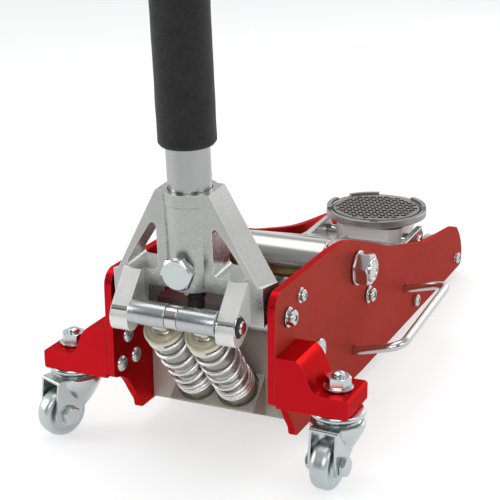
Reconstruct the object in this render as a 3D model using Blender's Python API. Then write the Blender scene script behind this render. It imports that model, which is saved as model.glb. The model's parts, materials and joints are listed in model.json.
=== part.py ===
"""Compact aluminium hydraulic floor jack, standing on its four wheels with the saddle down.

Frame: +X to the right, +Y forward towards the saddle, +Z up. The origin is on the floor,
in the plane of symmetry, midway between the rear and the front of the jack.
Design sizes are in millimetres and measured from the rear edge of the side plates,
the plane of symmetry and the floor. MM turns them into metres.
"""
import math

import bmesh
import bpy
from mathutils import Matrix, Vector

MM = 0.001
GAP = 0.3
MIDDLE_Y = 216.0

# Side plates
PLATE_OUTER_X = 68.6
PLATE_THICKNESS = 6.0
PLATE_INNER_X = PLATE_OUTER_X - PLATE_THICKNESS
PLATE_TOP = 142.5
PLATE_REAR_BOTTOM = 56.6
PLATE_BOTTOM = 10.0

# Caster brackets and casters
BRACKET_END_X = 124.0
BRACKET_BOTTOM = 56.6
BRACKET_TOP = 95.6
PLATFORM_TOP = 71.6
BRACKET_DEPTH = 40.7
STEM_X = 108.9
STEM_Y = 20.0
CASTER_RADIUS = 19.0
CASTER_WIDTH = 14.5
CASTER_TRAIL = 15.0
CASTER_SWIVEL_RIGHT = -5.0
CASTER_SWIVEL_LEFT = -24.0

# Yoke, in its own upright frame with the origin at its pivot
YOKE_PIVOT = (23.5, 118.5)
YOKE_LEAN = 4.3
HANDLE_AXIS_Y = -8.3
YOKE_REAR = -22.0
YOKE_FRONT = 5.0
YOKE_TOP = 94.4
YOKE_HALF_TOP = 21.0
YOKE_HALF_BOTTOM = 59.4
YOKE_SHOULDER = 23.0
TUBE_RADIUS = 15.9
SOCKET_RADIUS = 16.4
BOSS_RADIUS = 20.0

# Handle, measured up its own axis from the height of the yoke's pivot
HANDLE_FOOT = 22.0
SLEEVE_START = 126.5
SLEEVE_END = 520.0
SLEEVE_RADIUS = 20.9
LOWER_TUBE_END = 540.0
UPPER_TUBE_RADIUS = 12.7
HANDLE_TOP = 1010.0

# Pump: two plungers that lean rearward
PUMP_X = 16.6
PUMP_TOP = (-6.5, 109.0)
PUMP_FOOT = (46.9, 47.3)
PLUNGER_RADIUS = 7.0
CAP_RADIUS = 15.6
PLUNGER_HEAD = 10.4
PUMP_SLEEVE = 38.0
SLEEVE_OUTER = 10.8
SKIRT_RADIUS = 12.0
SKIRT_LENGTH = 34.0
POCKET_RADIUS = 17.0
POCKET_DEPTH = 11.0
SPRING_RADIUS = 15.7
SPRING_WIRE = 1.7
SPRING_TURNS = 7
ROLLER_RADIUS = 9.0
ROLLER_AXIS = (-20.2, 123.4)
LOCK_HEIGHT = 38.0
BLOCK_REAR = 60.5
BLOCK_FRONT = 118.0

# Lift arm and its linkage
ARM_PIVOT = (171.6, 109.1)
SADDLE_PIN = (409.0, 59.5)
TIE_PIVOT = (201.2, 76.2)
TIE_ROD_X = 53.5
TIE_ROD_THICKNESS = 5.0
LOWER_BAR = (340.1, 23.4)
ARM_CHEEK_X = 51.0
ARM_CHEEK_THICKNESS = 6.0
HOOD_RADIUS = 19.3
HOOD_END = 72.0
HUB_RADIUS = 15.6
LUG_REACH = 49.0
LUG_ANGLE = 33.0
RAM_HEIGHT = 66.0
CYLINDER_RADIUS = 21.0
CYLINDER_END = 236.0
CROSSHEAD_Y = 262.0

# Saddle
SADDLE_CENTRE_Y = 425.0
SADDLE_TOP = 84.0
SADDLE_RADIUS = 50.0
PAD_RADIUS = 43.7
SADDLE_LUGS = ((124.0, 19.0), (38.0, 21.0), (188.0, 22.0), (286.0, 5.0))

# Carry handle on the right plate
CARRY_RADIUS = 3.8
CARRY_FEET = ((168.3, 38.0), (306.7, 46.5))
CARRY_REACH = 109.4
CARRY_RISE = 9.4

# Front wheels
FRONT_AXLE = (483.0, 21.5)
FRONT_WHEEL_RADIUS = 21.5
FRONT_WHEEL_WIDTH = 24.0
FRONT_WHEEL_X = 46.0


# ---------------------------------------------------------------- materials

def material(name, colour, metallic, roughness):
    mat = bpy.data.materials.new(name)
    mat.use_nodes = True
    shader = mat.node_tree.nodes["Principled BSDF"]
    shader.inputs["Base Color"].default_value = (*colour, 1.0)
    shader.inputs["Metallic"].default_value = metallic
    shader.inputs["Roughness"].default_value = roughness
    mat.diffuse_color = (*colour, 1.0)
    return mat


# ---------------------------------------------------------------- shapes

def smooth(points, steps=5):
    """Points of a Catmull-Rom curve through the given points."""
    out = []
    for i in range(len(points) - 1):
        p0 = Vector(points[max(i - 1, 0)])
        p1 = Vector(points[i])
        p2 = Vector(points[i + 1])
        p3 = Vector(points[min(i + 2, len(points) - 1)])
        for k in range(steps):
            t = k / steps
            a = 2.0 * p1
            b = (p2 - p0) * t
            c = (2.0 * p0 - 5.0 * p1 + 4.0 * p2 - p3) * t * t
            d = (3.0 * p1 - p0 - 3.0 * p2 + p3) * t * t * t
            out.append(tuple(0.5 * (a + b + c + d)))
    out.append(tuple(points[-1]))
    return out


def arc(centre, radius, start, end, steps):
    """Points on an arc, with angles in degrees from the first axis."""
    points = []
    for k in range(steps + 1):
        angle = math.radians(start + (end - start) * k / steps)
        x = centre[0] + radius * math.cos(angle)
        y = centre[1] + radius * math.sin(angle)
        points.append((x, y))
    return points


def to_world(plane, a, b, depth):
    """A point of an outline, in the plane XY, YZ or XZ, at a depth along the third axis."""
    if plane == "YZ":
        return Vector((depth, a, b)) * MM
    if plane == "XZ":
        return Vector((a, depth, b)) * MM
    return Vector((a, b, depth)) * MM


def prism_mesh(outline, low, high, plane):
    """A solid with the given outline, from low to high along the axis across its plane."""
    bm = bmesh.new()
    verts = [bm.verts.new(to_world(plane, a, b, low)) for a, b in outline]
    face = bm.faces.new(verts)
    top = bmesh.ops.extrude_face_region(bm, geom=[face])["geom"]
    shift = to_world(plane, 0.0, 0.0, high - low)
    moved = [g for g in top if isinstance(g, bmesh.types.BMVert)]
    bmesh.ops.translate(bm, verts=moved, vec=shift)
    bmesh.ops.recalc_face_normals(bm, faces=bm.faces)
    return bm


def lathe_mesh(profile, segments=24, axis="Z"):
    """A closed profile of (radius, height) points turned about an axis."""
    bm = bmesh.new()
    rings = []
    for radius, height in profile:
        if radius < 1e-6:
            rings.append([bm.verts.new(Vector((0.0, 0.0, height)) * MM)])
            continue
        ring = []
        for k in range(segments):
            angle = 2.0 * math.pi * k / segments
            point = (radius * math.cos(angle), radius * math.sin(angle), height)
            ring.append(bm.verts.new(Vector(point) * MM))
        rings.append(ring)
    solid = len(rings[0]) == 1
    count = len(rings) if not solid else len(rings) - 1
    for i in range(count):
        low = rings[i]
        high = rings[(i + 1) % len(rings)]
        for k in range(segments):
            n = (k + 1) % segments
            corners = [low[k % len(low)], low[n % len(low)], high[n % len(high)], high[k % len(high)]]
            unique = list(dict.fromkeys(corners))
            if len(unique) > 2:
                bm.faces.new(unique)
    bmesh.ops.recalc_face_normals(bm, faces=bm.faces)
    if axis == "X":
        bmesh.ops.rotate(bm, verts=bm.verts, matrix=Matrix.Rotation(math.pi / 2.0, 3, "Y"))
    if axis == "Y":
        bmesh.ops.rotate(bm, verts=bm.verts, matrix=Matrix.Rotation(-math.pi / 2.0, 3, "X"))
    return bm


def rod_profile(radius, low, high, chamfer=0.0):
    """A plain round bar between two heights, with chamfered ends."""
    if chamfer <= 0.0:
        return [(0.0, low), (radius, low), (radius, high), (0.0, high)]
    return [
        (0.0, low), (radius - chamfer, low), (radius, low + chamfer),
        (radius, high - chamfer), (radius - chamfer, high), (0.0, high),
    ]


def ring_profile(inner, outer, low, high):
    return [(inner, low), (outer, low), (outer, high), (inner, high)]


def sweep_mesh(path, radius, sides=10):
    """A round bar along a path of points, closed at both ends."""
    points = [Vector(p) for p in path]
    bm = bmesh.new()
    normal = None
    rings = []
    for i, point in enumerate(points):
        before = points[max(i - 1, 0)]
        after = points[min(i + 1, len(points) - 1)]
        tangent = (after - before).normalized()
        if normal is None:
            guide = Vector((0.0, 0.0, 1.0))
            if abs(tangent.dot(guide)) > 0.9:
                guide = Vector((0.0, 1.0, 0.0))
            normal = guide.cross(tangent).normalized()
        normal = (normal - tangent * normal.dot(tangent)).normalized()
        other = tangent.cross(normal)
        ring = []
        for k in range(sides):
            angle = 2.0 * math.pi * k / sides
            offset = normal * math.cos(angle) + other * math.sin(angle)
            ring.append(bm.verts.new((point + offset * radius) * MM))
        rings.append(ring)
    for low, high in zip(rings, rings[1:]):
        for k in range(sides):
            n = (k + 1) % sides
            bm.faces.new((low[k], low[n], high[n], high[k]))
    bm.faces.new(rings[0])
    bm.faces.new(rings[-1])
    bmesh.ops.recalc_face_normals(bm, faces=bm.faces)
    return bm


def hexagon(across_flats, centre=(0.0, 0.0), turn=0.0):
    radius = across_flats / math.sqrt(3.0)
    return arc(centre, radius, turn, turn + 300.0, 5)


def block_mesh(low, high):
    outline = [(low[0], low[1]), (high[0], low[1]), (high[0], high[1]), (low[0], high[1])]
    return prism_mesh(outline, low[2], high[2], "XY")


# ---------------------------------------------------------------- objects

def place(name, bm, mat, parent, at=(0.0, 0.0, 0.0), turn=(0.0, 0.0, 0.0), sharp=35.0):
    """Makes an object from a bmesh; at is in millimetres and turn in degrees."""
    mesh = bpy.data.meshes.new(name)
    bm.to_mesh(mesh)
    bm.free()
    obj = bpy.data.objects.new(name, mesh)
    bpy.context.scene.collection.objects.link(obj)
    obj.parent = parent
    obj.location = Vector(at) * MM
    obj.rotation_euler = [math.radians(t) for t in turn]
    if mat is not None:
        mesh.materials.append(mat)
        mesh.shade_smooth()
        mesh.set_sharp_from_angle(angle=math.radians(sharp))
    return obj


def pivot(name, parent, at=(0.0, 0.0, 0.0), turn=(0.0, 0.0, 0.0)):
    """An empty on a joint's axis."""
    empty = bpy.data.objects.new(name, None)
    empty.empty_display_size = 0.02
    bpy.context.scene.collection.objects.link(empty)
    empty.parent = parent
    empty.location = Vector(at) * MM
    empty.rotation_euler = [math.radians(t) for t in turn]
    return empty


def boolean(obj, bm, operation="DIFFERENCE", at=(0.0, 0.0, 0.0), turn=(0.0, 0.0, 0.0)):
    """Cuts a shape from an object, or joins it on. The shape is a hidden guide."""
    count = sum(1 for m in obj.modifiers if m.type == "BOOLEAN")
    tool = place(f"tool_{obj.name}_{count}", bm, None, obj.parent, at, turn)
    tool.hide_render = True
    tool.display_type = "WIRE"
    tool.hide_set(True)
    modifier = obj.modifiers.new(f"{operation.lower()}_{count}", "BOOLEAN")
    modifier.operation = operation
    modifier.solver = "EXACT"
    modifier.object = tool
    return tool


def bore(obj, radius, at, low, high, axis="X", segments=20):
    """Cuts a round hole through an object along an axis."""
    offset = {"X": (1, 0, 0), "Y": (0, 1, 0), "Z": (0, 0, 1)}[axis]
    middle = [at[i] * (1 - offset[i]) for i in range(3)]
    boolean(obj, lathe_mesh(rod_profile(radius, low, high), segments, axis), at=middle)


def mirrored(bm):
    """The mirror image of a shape across the plane of symmetry."""
    bmesh.ops.scale(bm, vec=(-1.0, 1.0, 1.0), verts=bm.verts)
    bmesh.ops.reverse_faces(bm, faces=bm.faces)
    return bm


def sided(bm, side):
    return bm if side > 0 else mirrored(bm)


SIDES = ((1, "right"), (-1, "left"))


# ---------------------------------------------------------------- frame

def plate_outline():
    """Side plate, seen from the right, as (Y, Z) points."""
    rear_top = arc((12.0, PLATE_TOP - 12.0), 12.0, 180.0, 90.0, 5)
    top = smooth(
        [(100.0, PLATE_TOP), (128.0, 141.2), (153.0, 137.6), (193.0, 125.2), (264.0, 99.9),
         (302.0, 89.3), (350.0, 77.4), (379.0, 71.4), (407.0, 66.9), (436.0, 63.0), (464.0, 59.4)],
        3,
    )
    nose = smooth([(464.0, 59.4), (476.0, 57.0), (484.5, 52.8), (497.0, 40.0), (504.0, 26.0), (504.4, 14.8)], 3)
    chin = arc((498.4, 15.0), 6.0, -5.0, -90.0, 3)
    under = [(463.0, 8.8), (190.0, 11.0), (69.0, 16.4)]
    toe = arc((42.5, 20.0), 3.2, 270.0, 190.0, 3)
    hook = smooth([(38.0, 24.5), (31.0, 34.0), (25.0, 43.0), (19.0, 50.0), (10.0, 55.4)], 3)
    heel = [(4.0, PLATE_REAR_BOTTOM), (0.0, PLATE_REAR_BOTTOM + 3.0)]
    return rear_top + top + nose[1:] + chin + under + toe + hook + heel


def build_side_plates(root, red):
    for side, word in SIDES:
        outline = plate_outline()
        bm = sided(prism_mesh(outline, PLATE_INNER_X, PLATE_OUTER_X, "YZ"), side)
        plate = place(f"side_plate_{word}", bm, red, root)
        for (y, z), radius in (
            (ARM_PIVOT, 10.3), (YOKE_PIVOT, 5.3), (TIE_PIVOT, 5.3), (LOWER_BAR, 4.3), (FRONT_AXLE, 5.3),
        ):
            low, high = sorted((side * 55.0, side * 76.0))
            bore(plate, radius, (0.0, y, z), low, high, segments=16)
        if side > 0:
            for y, z in CARRY_FEET:
                bore(plate, CARRY_RADIUS + 0.5, (0.0, y, z), 55.0, 76.0, segments=12)


def bracket_outline():
    """Caster bracket seen from behind, as (X, Z) points."""
    inner = PLATE_OUTER_X + GAP
    slope = smooth(
        [(84.0, BRACKET_TOP), (88.5, 91.5), (92.5, 83.5), (95.0, 77.0), (98.5, 72.8), (103.0, PLATFORM_TOP)],
        2,
    )
    end = [(BRACKET_END_X - 1.5, PLATFORM_TOP), (BRACKET_END_X, PLATFORM_TOP - 1.5)]
    foot = [(BRACKET_END_X, BRACKET_BOTTOM + 1.5), (BRACKET_END_X - 1.5, BRACKET_BOTTOM)]
    return [(inner, BRACKET_TOP)] + slope + end + foot + [(inner, BRACKET_BOTTOM)]


def build_brackets(root, red, zinc):
    for side, word in SIDES:
        bm = sided(prism_mesh(bracket_outline(), 0.0, BRACKET_DEPTH, "XZ"), side)
        bracket = place(f"caster_bracket_{word}", bm, red, root)
        centre = (side * STEM_X, STEM_Y, 0.0)
        boolean(bracket, lathe_mesh(rod_profile(16.0, PLATFORM_TOP, 110.0), 28), at=centre)
        boolean(bracket, lathe_mesh(rod_profile(5.3, 50.0, 80.0), 16), at=centre)

        stem = [
            (0.0, 50.0), (7.0, 50.0), (7.0, 52.5), (20.3, 52.5), (20.3, 55.5), (18.8, 56.3),
            (5.0, 56.3), (5.0, 83.0), (0.0, 84.8),
        ]
        place(f"caster_stem_{word}", lathe_mesh(stem, 16), zinc, root, at=centre)
        nut = prism_mesh(hexagon(16.5), PLATFORM_TOP + 2.3, PLATFORM_TOP + 9.8, "XY")
        nut = place(f"caster_nut_{word}", nut, zinc, root, at=centre)
        washer = lathe_mesh(rod_profile(11.0, PLATFORM_TOP + GAP, PLATFORM_TOP + 2.4), 20)
        boolean(nut, washer, "UNION", at=centre)
        boolean(nut, lathe_mesh(rod_profile(5.3, 65.0, 90.0), 16), at=centre)


def build_carry_handle(root, steel):
    """U-shaped rod through the right plate, with its loop tilted a little upwards."""
    feet = [Vector((PLATE_INNER_X - 4.0, y, z)) for y, z in CARRY_FEET]
    roots = [Vector((PLATE_OUTER_X + 2.0, y, z)) for y, z in CARRY_FEET]
    turns = [Vector((CARRY_REACH, y, z + CARRY_RISE)) for y, z in CARRY_FEET]
    corners = [feet[0], roots[0], turns[0], turns[1], roots[1], feet[1]]
    rounding = [0.0, 3.0, 14.0, 14.0, 3.0, 0.0]
    path = [corners[0]]
    for i in range(1, len(corners) - 1):
        corner = corners[i]
        start = corner + (corners[i - 1] - corner).normalized() * rounding[i]
        end = corner + (corners[i + 1] - corner).normalized() * rounding[i]
        steps = 5 if rounding[i] > 5.0 else 1
        for k in range(steps + 1):
            t = k / steps
            path.append(start * (1 - t) ** 2 + corner * 2 * t * (1 - t) + end * t ** 2)
    path.append(corners[-1])
    place("carry_handle", sweep_mesh(path, CARRY_RADIUS, 10), steel, root)


def build_cross_members(root, zinc, steel):
    for side, word in SIDES:
        profile = [
            (0.0, 39.5), (3.6, 39.5), (5.0, 40.9), (5.0, PLATE_OUTER_X + GAP),
            (8.3, PLATE_OUTER_X + GAP), (8.3, PLATE_OUTER_X + 1.8), (6.6, PLATE_OUTER_X + 1.8),
            (6.0, PLATE_OUTER_X + 5.4), (4.4, PLATE_OUTER_X + 6.8), (0.0, PLATE_OUTER_X + 7.2),
        ]
        bm = sided(lathe_mesh(profile, 20, "X"), side)
        place(f"yoke_pivot_screw_{word}", bm, zinc, root, at=(0.0, *YOKE_PIVOT))

    def through_bar(name, at, body, neck, head, mat):
        half = [
            (body, 0.0), (body, PLATE_INNER_X - GAP), (neck, PLATE_INNER_X - GAP),
            (neck, PLATE_OUTER_X + GAP), (head, PLATE_OUTER_X + GAP), (head, PLATE_OUTER_X + 2.4),
            (head * 0.62, PLATE_OUTER_X + 4.6), (0.0, PLATE_OUTER_X + 5.0),
        ]
        profile = [(r, -x) for r, x in reversed(half)] + half[1:]
        return place(name, lathe_mesh(profile, 14, "X"), mat, root, at=(0.0, *at))

    through_bar("frame_crossbar", LOWER_BAR, 6.0, 4.0, 6.0, zinc)
    through_bar("front_axle", FRONT_AXLE, 5.0, 5.0, 5.6, steel)
    for side, word in SIDES:
        profile = [
            (0.0, TIE_ROD_X - 1.0), (5.0, TIE_ROD_X - 1.0), (5.0, PLATE_OUTER_X + GAP),
            (8.3, PLATE_OUTER_X + GAP), (8.3, PLATE_OUTER_X + 2.0), (6.2, PLATE_OUTER_X + 2.0),
            (5.6, PLATE_OUTER_X + 5.2), (0.0, PLATE_OUTER_X + 6.2),
        ]
        bm = sided(lathe_mesh(profile, 16, "X"), side)
        place(f"tie_rod_bolt_{word}", bm, zinc, root, at=(0.0, *TIE_PIVOT))

    bolt = [
        (0.0, -PLATE_OUTER_X - 12.0), (11.0, -PLATE_OUTER_X - 12.0), (12.4, -PLATE_OUTER_X - 10.5),
        (12.4, -PLATE_OUTER_X - 2.4), (14.5, -PLATE_OUTER_X - 2.4), (14.5, -PLATE_OUTER_X - GAP),
        (10.0, -PLATE_OUTER_X - GAP), (10.0, PLATE_OUTER_X + 13.5), (8.2, PLATE_OUTER_X + 15.2),
        (0.0, PLATE_OUTER_X + 15.6),
    ]
    place("lift_pivot_bolt", lathe_mesh(bolt, 24, "X"), zinc, root, at=(0.0, *ARM_PIVOT))
    outline = hexagon(24.6, turn=18.0)
    nut = prism_mesh(outline, PLATE_OUTER_X + 2.5, PLATE_OUTER_X + 12.2, "YZ")
    nut = place("lift_pivot_nut", nut, zinc, root, at=(0.0, *ARM_PIVOT))
    washer = lathe_mesh(rod_profile(14.5, PLATE_OUTER_X + GAP, PLATE_OUTER_X + 2.6), 24, "X")
    boolean(nut, washer, "UNION", at=(0.0, *ARM_PIVOT))
    bore(nut, 10.3, (0.0, *ARM_PIVOT), 55.0, 95.0, segments=24)


# ---------------------------------------------------------------- pump

def pump_lean():
    """Angle of the pump axis from the vertical, and its length."""
    dy = PUMP_TOP[0] - PUMP_FOOT[0]
    dz = PUMP_TOP[1] - PUMP_FOOT[1]
    return math.degrees(math.atan2(-dy, dz)), math.hypot(dy, dz)


def build_pump(root, cast, zinc, brass, steel):
    lean, length = pump_lean()
    outline = [
        (BLOCK_REAR, 18.5), (BLOCK_FRONT, 18.5), (BLOCK_FRONT, 92.0),
        (BLOCK_FRONT - 8.0, 100.0), (BLOCK_REAR + 10.0, 100.0), (BLOCK_REAR, 92.0),
    ]
    half = PLATE_INNER_X - GAP
    block = place("pump_block", prism_mesh(outline, -half, half, "YZ"), cast, root)
    boss = [(BLOCK_REAR - 1.0, 19.2), (BLOCK_REAR + 6.0, 19.2), (BLOCK_REAR + 6.0, 58.0), (36.5, 32.0), (38.0, 30.0)]
    boolean(block, prism_mesh(boss, -35.0, 35.0, "YZ"), "UNION")
    for side, word in SIDES:
        seat = (side * PUMP_X, *PUMP_FOOT)
        turn = (lean, 0.0, 0.0)
        boolean(block, lathe_mesh(rod_profile(POCKET_RADIUS, -POCKET_DEPTH, 60.0), 24), at=seat, turn=turn)
    for side, word in SIDES:
        seat = (side * PUMP_X, *PUMP_FOOT)
        sleeve = [
            (0.0, -POCKET_DEPTH - 3.0), (14.0, -POCKET_DEPTH - 3.0), (14.0, -GAP), (SLEEVE_OUTER, -GAP),
            (SLEEVE_OUTER, PUMP_SLEEVE), (0.0, PUMP_SLEEVE),
        ]
        boolean(block, lathe_mesh(sleeve, 20), "UNION", at=seat, turn=turn)
        boolean(block, lathe_mesh(rod_profile(PLUNGER_RADIUS + GAP, -30.0, 60.0), 16), at=seat, turn=turn)
    valve_seat = (0.0, BLOCK_REAR, 84.0)
    boolean(block, lathe_mesh(rod_profile(6.3, -10.0, 18.5), 16, "Y"), at=valve_seat)
    socket = (0.0, BLOCK_FRONT, RAM_HEIGHT)
    boolean(block, lathe_mesh(rod_profile(CYLINDER_RADIUS + GAP, -15.0, 10.0), 28, "Y"), at=socket)

    wall = CYLINDER_RADIUS - 4.0
    tube = [
        (wall, BLOCK_FRONT - 14.7), (CYLINDER_RADIUS, BLOCK_FRONT - 14.7), (CYLINDER_RADIUS, CYLINDER_END),
        (9.3, CYLINDER_END), (9.3, CYLINDER_END - 12.0), (wall, CYLINDER_END - 12.0),
    ]
    place("cylinder_tube", lathe_mesh(tube, 28, "Y"), steel, root, at=(0.0, 0.0, RAM_HEIGHT))

    for side, word in SIDES:
        foot = pivot(f"pump_axis_{word}", root, (side * PUMP_X, *PUMP_FOOT), (lean, 0.0, 0.0))
        plunger = [
            (0.0, 8.0), (PLUNGER_RADIUS - 1.0, 8.0), (PLUNGER_RADIUS, 9.0),
            (PLUNGER_RADIUS, length + PLUNGER_HEAD - 1.0), (PLUNGER_RADIUS - 1.0, length + PLUNGER_HEAD),
            (0.0, length + PLUNGER_HEAD),
        ]
        place(f"piston_{word}", lathe_mesh(plunger, 16), steel, foot)
        cap = [
            (SKIRT_RADIUS - 0.9, length - SKIRT_LENGTH), (SKIRT_RADIUS, length - SKIRT_LENGTH),
            (SKIRT_RADIUS, length - 3.6), (CAP_RADIUS, length - 3.0), (CAP_RADIUS, length - 1.0),
            (CAP_RADIUS - 1.5, length), (PLUNGER_RADIUS + GAP, length), (PLUNGER_RADIUS + GAP, length - 4.5),
            (SKIRT_RADIUS - 0.9, length - 4.5),
        ]
        place(f"piston_cap_{word}", lathe_mesh(cap, 20), brass, foot)
        place(f"pump_spring_{word}", spring_mesh(0.3, length - 3.8), zinc, foot)

    stem = [
        (0.0, -18.0), (6.0, -18.0), (6.0, 1.0), (8.5, 1.0), (8.5, 7.0), (5.0, 7.0), (5.0, 16.0), (0.0, 16.0),
    ]
    axis = pivot("release_axis", root, (0.0, BLOCK_REAR, 84.0), (90.0, 0.0, 0.0))
    place("release_valve", lathe_mesh(stem, 16), steel, axis)


def spring_mesh(low, high):
    """Compression spring with closed ends, from low to high along Z."""
    sides = 6
    per_turn = 13
    closed = 1.0
    mid = SPRING_RADIUS - SPRING_WIRE
    low = low + SPRING_WIRE
    high = high - SPRING_WIRE
    pitch = 2.0 * SPRING_WIRE + 0.25
    path = []
    count = int(SPRING_TURNS * per_turn)
    for k in range(count + 1):
        turn = k / per_turn
        if turn < closed:
            z = low + pitch * turn
        elif turn > SPRING_TURNS - closed:
            z = high - pitch * (SPRING_TURNS - turn)
        else:
            share = (turn - closed) / (SPRING_TURNS - 2.0 * closed)
            z = low + pitch * closed + share * (high - low - 2.0 * pitch * closed)
        angle = 2.0 * math.pi * turn
        path.append((mid * math.cos(angle), mid * math.sin(angle), z))
    return sweep_mesh(path, SPRING_WIRE, sides)


# ---------------------------------------------------------------- yoke and handle

def build_yoke(root, cast, steel, zinc):
    yoke_pivot = pivot("yoke_pivot", root, (0.0, *YOKE_PIVOT), (YOKE_LEAN, 0.0, 0.0))

    def both(points):
        return points + [(-x, z) for x, z in reversed(points)]

    panel = both([
        (YOKE_HALF_TOP, YOKE_TOP), (YOKE_HALF_BOTTOM, YOKE_SHOULDER), (YOKE_HALF_BOTTOM, 4.0),
        (33.0, 4.0), (31.0, YOKE_SHOULDER - 2.0),
    ])
    yoke = place("handle_yoke", prism_mesh(panel, YOKE_REAR, YOKE_FRONT, "XZ"), cast, yoke_pivot)
    for side, word in SIDES:
        leg_outline = arc((-0.0, 0.0), 13.0, 180.0, 360.0, 8) + [(13.0, 8.0), (YOKE_FRONT, 24.0), (YOKE_REAR, 30.0),
                                                                (YOKE_REAR, 0.0)]
        low, high = sorted((side * 43.0, side * (YOKE_HALF_BOTTOM - 0.05)))
        boolean(yoke, prism_mesh(leg_outline, low, high, "YZ"), "UNION")
        ear_outline = [
            (YOKE_REAR + 6.0, 34.0), (YOKE_REAR - 2.0, 34.0), (-45.0, 14.0), (-50.0, 6.0), (-49.0, -3.0),
            (-43.0, -8.0), (-36.0, -6.0), (YOKE_REAR + 6.0, 6.0),
        ]
        low, high = sorted((side * 34.6, side * 49.0))
        boolean(yoke, prism_mesh(ear_outline, low, high, "YZ"), "UNION")
    boss = rod_profile(BOSS_RADIUS, YOKE_SHOULDER - 2.0, YOKE_TOP - 0.02)
    axis_y = (0.0, HANDLE_AXIS_Y, 0.0)
    boolean(yoke, lathe_mesh(boss, 28), "UNION", at=axis_y)
    for side in (1, -1):
        window = [(side * 22.0, 34.0), (side * 43.0, 34.0), (side * 46.0, 38.0), (side * 26.0, 69.0), (side * 22.0, 66.0)]
        window = window if side > 0 else window[::-1]
        boolean(yoke, prism_mesh(window, YOKE_REAR - 5.0, YOKE_FRONT + 5.0, "XZ"))
    boolean(yoke, lathe_mesh(rod_profile(SOCKET_RADIUS, 12.0, 110.0), 28), at=axis_y)
    bore(yoke, 5.3, (0.0, 0.0, 0.0), -80.0, 80.0, segments=16)
    pin_y, pin_z = in_yoke(*ROLLER_AXIS)
    bore(yoke, 5.3, (0.0, pin_y, pin_z), -80.0, 80.0, segments=16)
    lock_z = LOCK_HEIGHT
    boolean(yoke, lathe_mesh(rod_profile(5.3, -50.0, 0.0), 16, "Y"), at=(0.0, HANDLE_AXIS_Y, lock_z))

    roller_pin = pivot("roller_axis", yoke_pivot, (0.0, pin_y, pin_z))
    pin = [
        (0.0, -50.0), (4.0, -50.0), (5.0, -49.0), (5.0, -4.4), (8.6, -4.4),
        (8.6, 4.4), (5.0, 4.4), (5.0, 52.5), (4.0, 53.5), (0.0, 53.5),
    ]
    place("roller_pin", lathe_mesh(pin, 20, "X"), steel, roller_pin)
    for side, word in SIDES:
        low, high = sorted((side * 4.8, side * 34.2))
        place(f"pump_roller_{word}", lathe_mesh(ring_profile(5.3, ROLLER_RADIUS, low, high), 20, "X"), steel, roller_pin)

    screw = pivot("clamp_axis", yoke_pivot, (0.0, HANDLE_AXIS_Y, lock_z), (90.0, 0.0, 0.0))
    bolt = prism_mesh(hexagon(21.8, turn=8.0), BOSS_RADIUS + 4.4, BOSS_RADIUS + 10.2, "XY")
    bolt = place("clamp_bolt", bolt, zinc, screw)
    boolean(bolt, lathe_mesh(rod_profile(12.1, 0.0, BOSS_RADIUS + 10.2, 1.2), 24), "INTERSECT")
    boolean(bolt, lathe_mesh(rod_profile(5.0, TUBE_RADIUS - 1.3, BOSS_RADIUS + 6.0), 16), "UNION")
    nut = prism_mesh(hexagon(19.0, turn=20.0), BOSS_RADIUS + 0.6, BOSS_RADIUS + 4.1, "XY")
    nut = place("clamp_locknut", nut, zinc, screw)
    boolean(nut, lathe_mesh(rod_profile(5.3, 0.0, 60.0), 16))
    return yoke_pivot


def in_yoke(y, z):
    """A point (Y, Z) of the jack in the yoke's own upright frame."""
    lean = math.radians(YOKE_LEAN)
    dy = y - YOKE_PIVOT[0]
    dz = z - YOKE_PIVOT[1]
    return dy * math.cos(lean) + dz * math.sin(lean), -dy * math.sin(lean) + dz * math.cos(lean)


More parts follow.
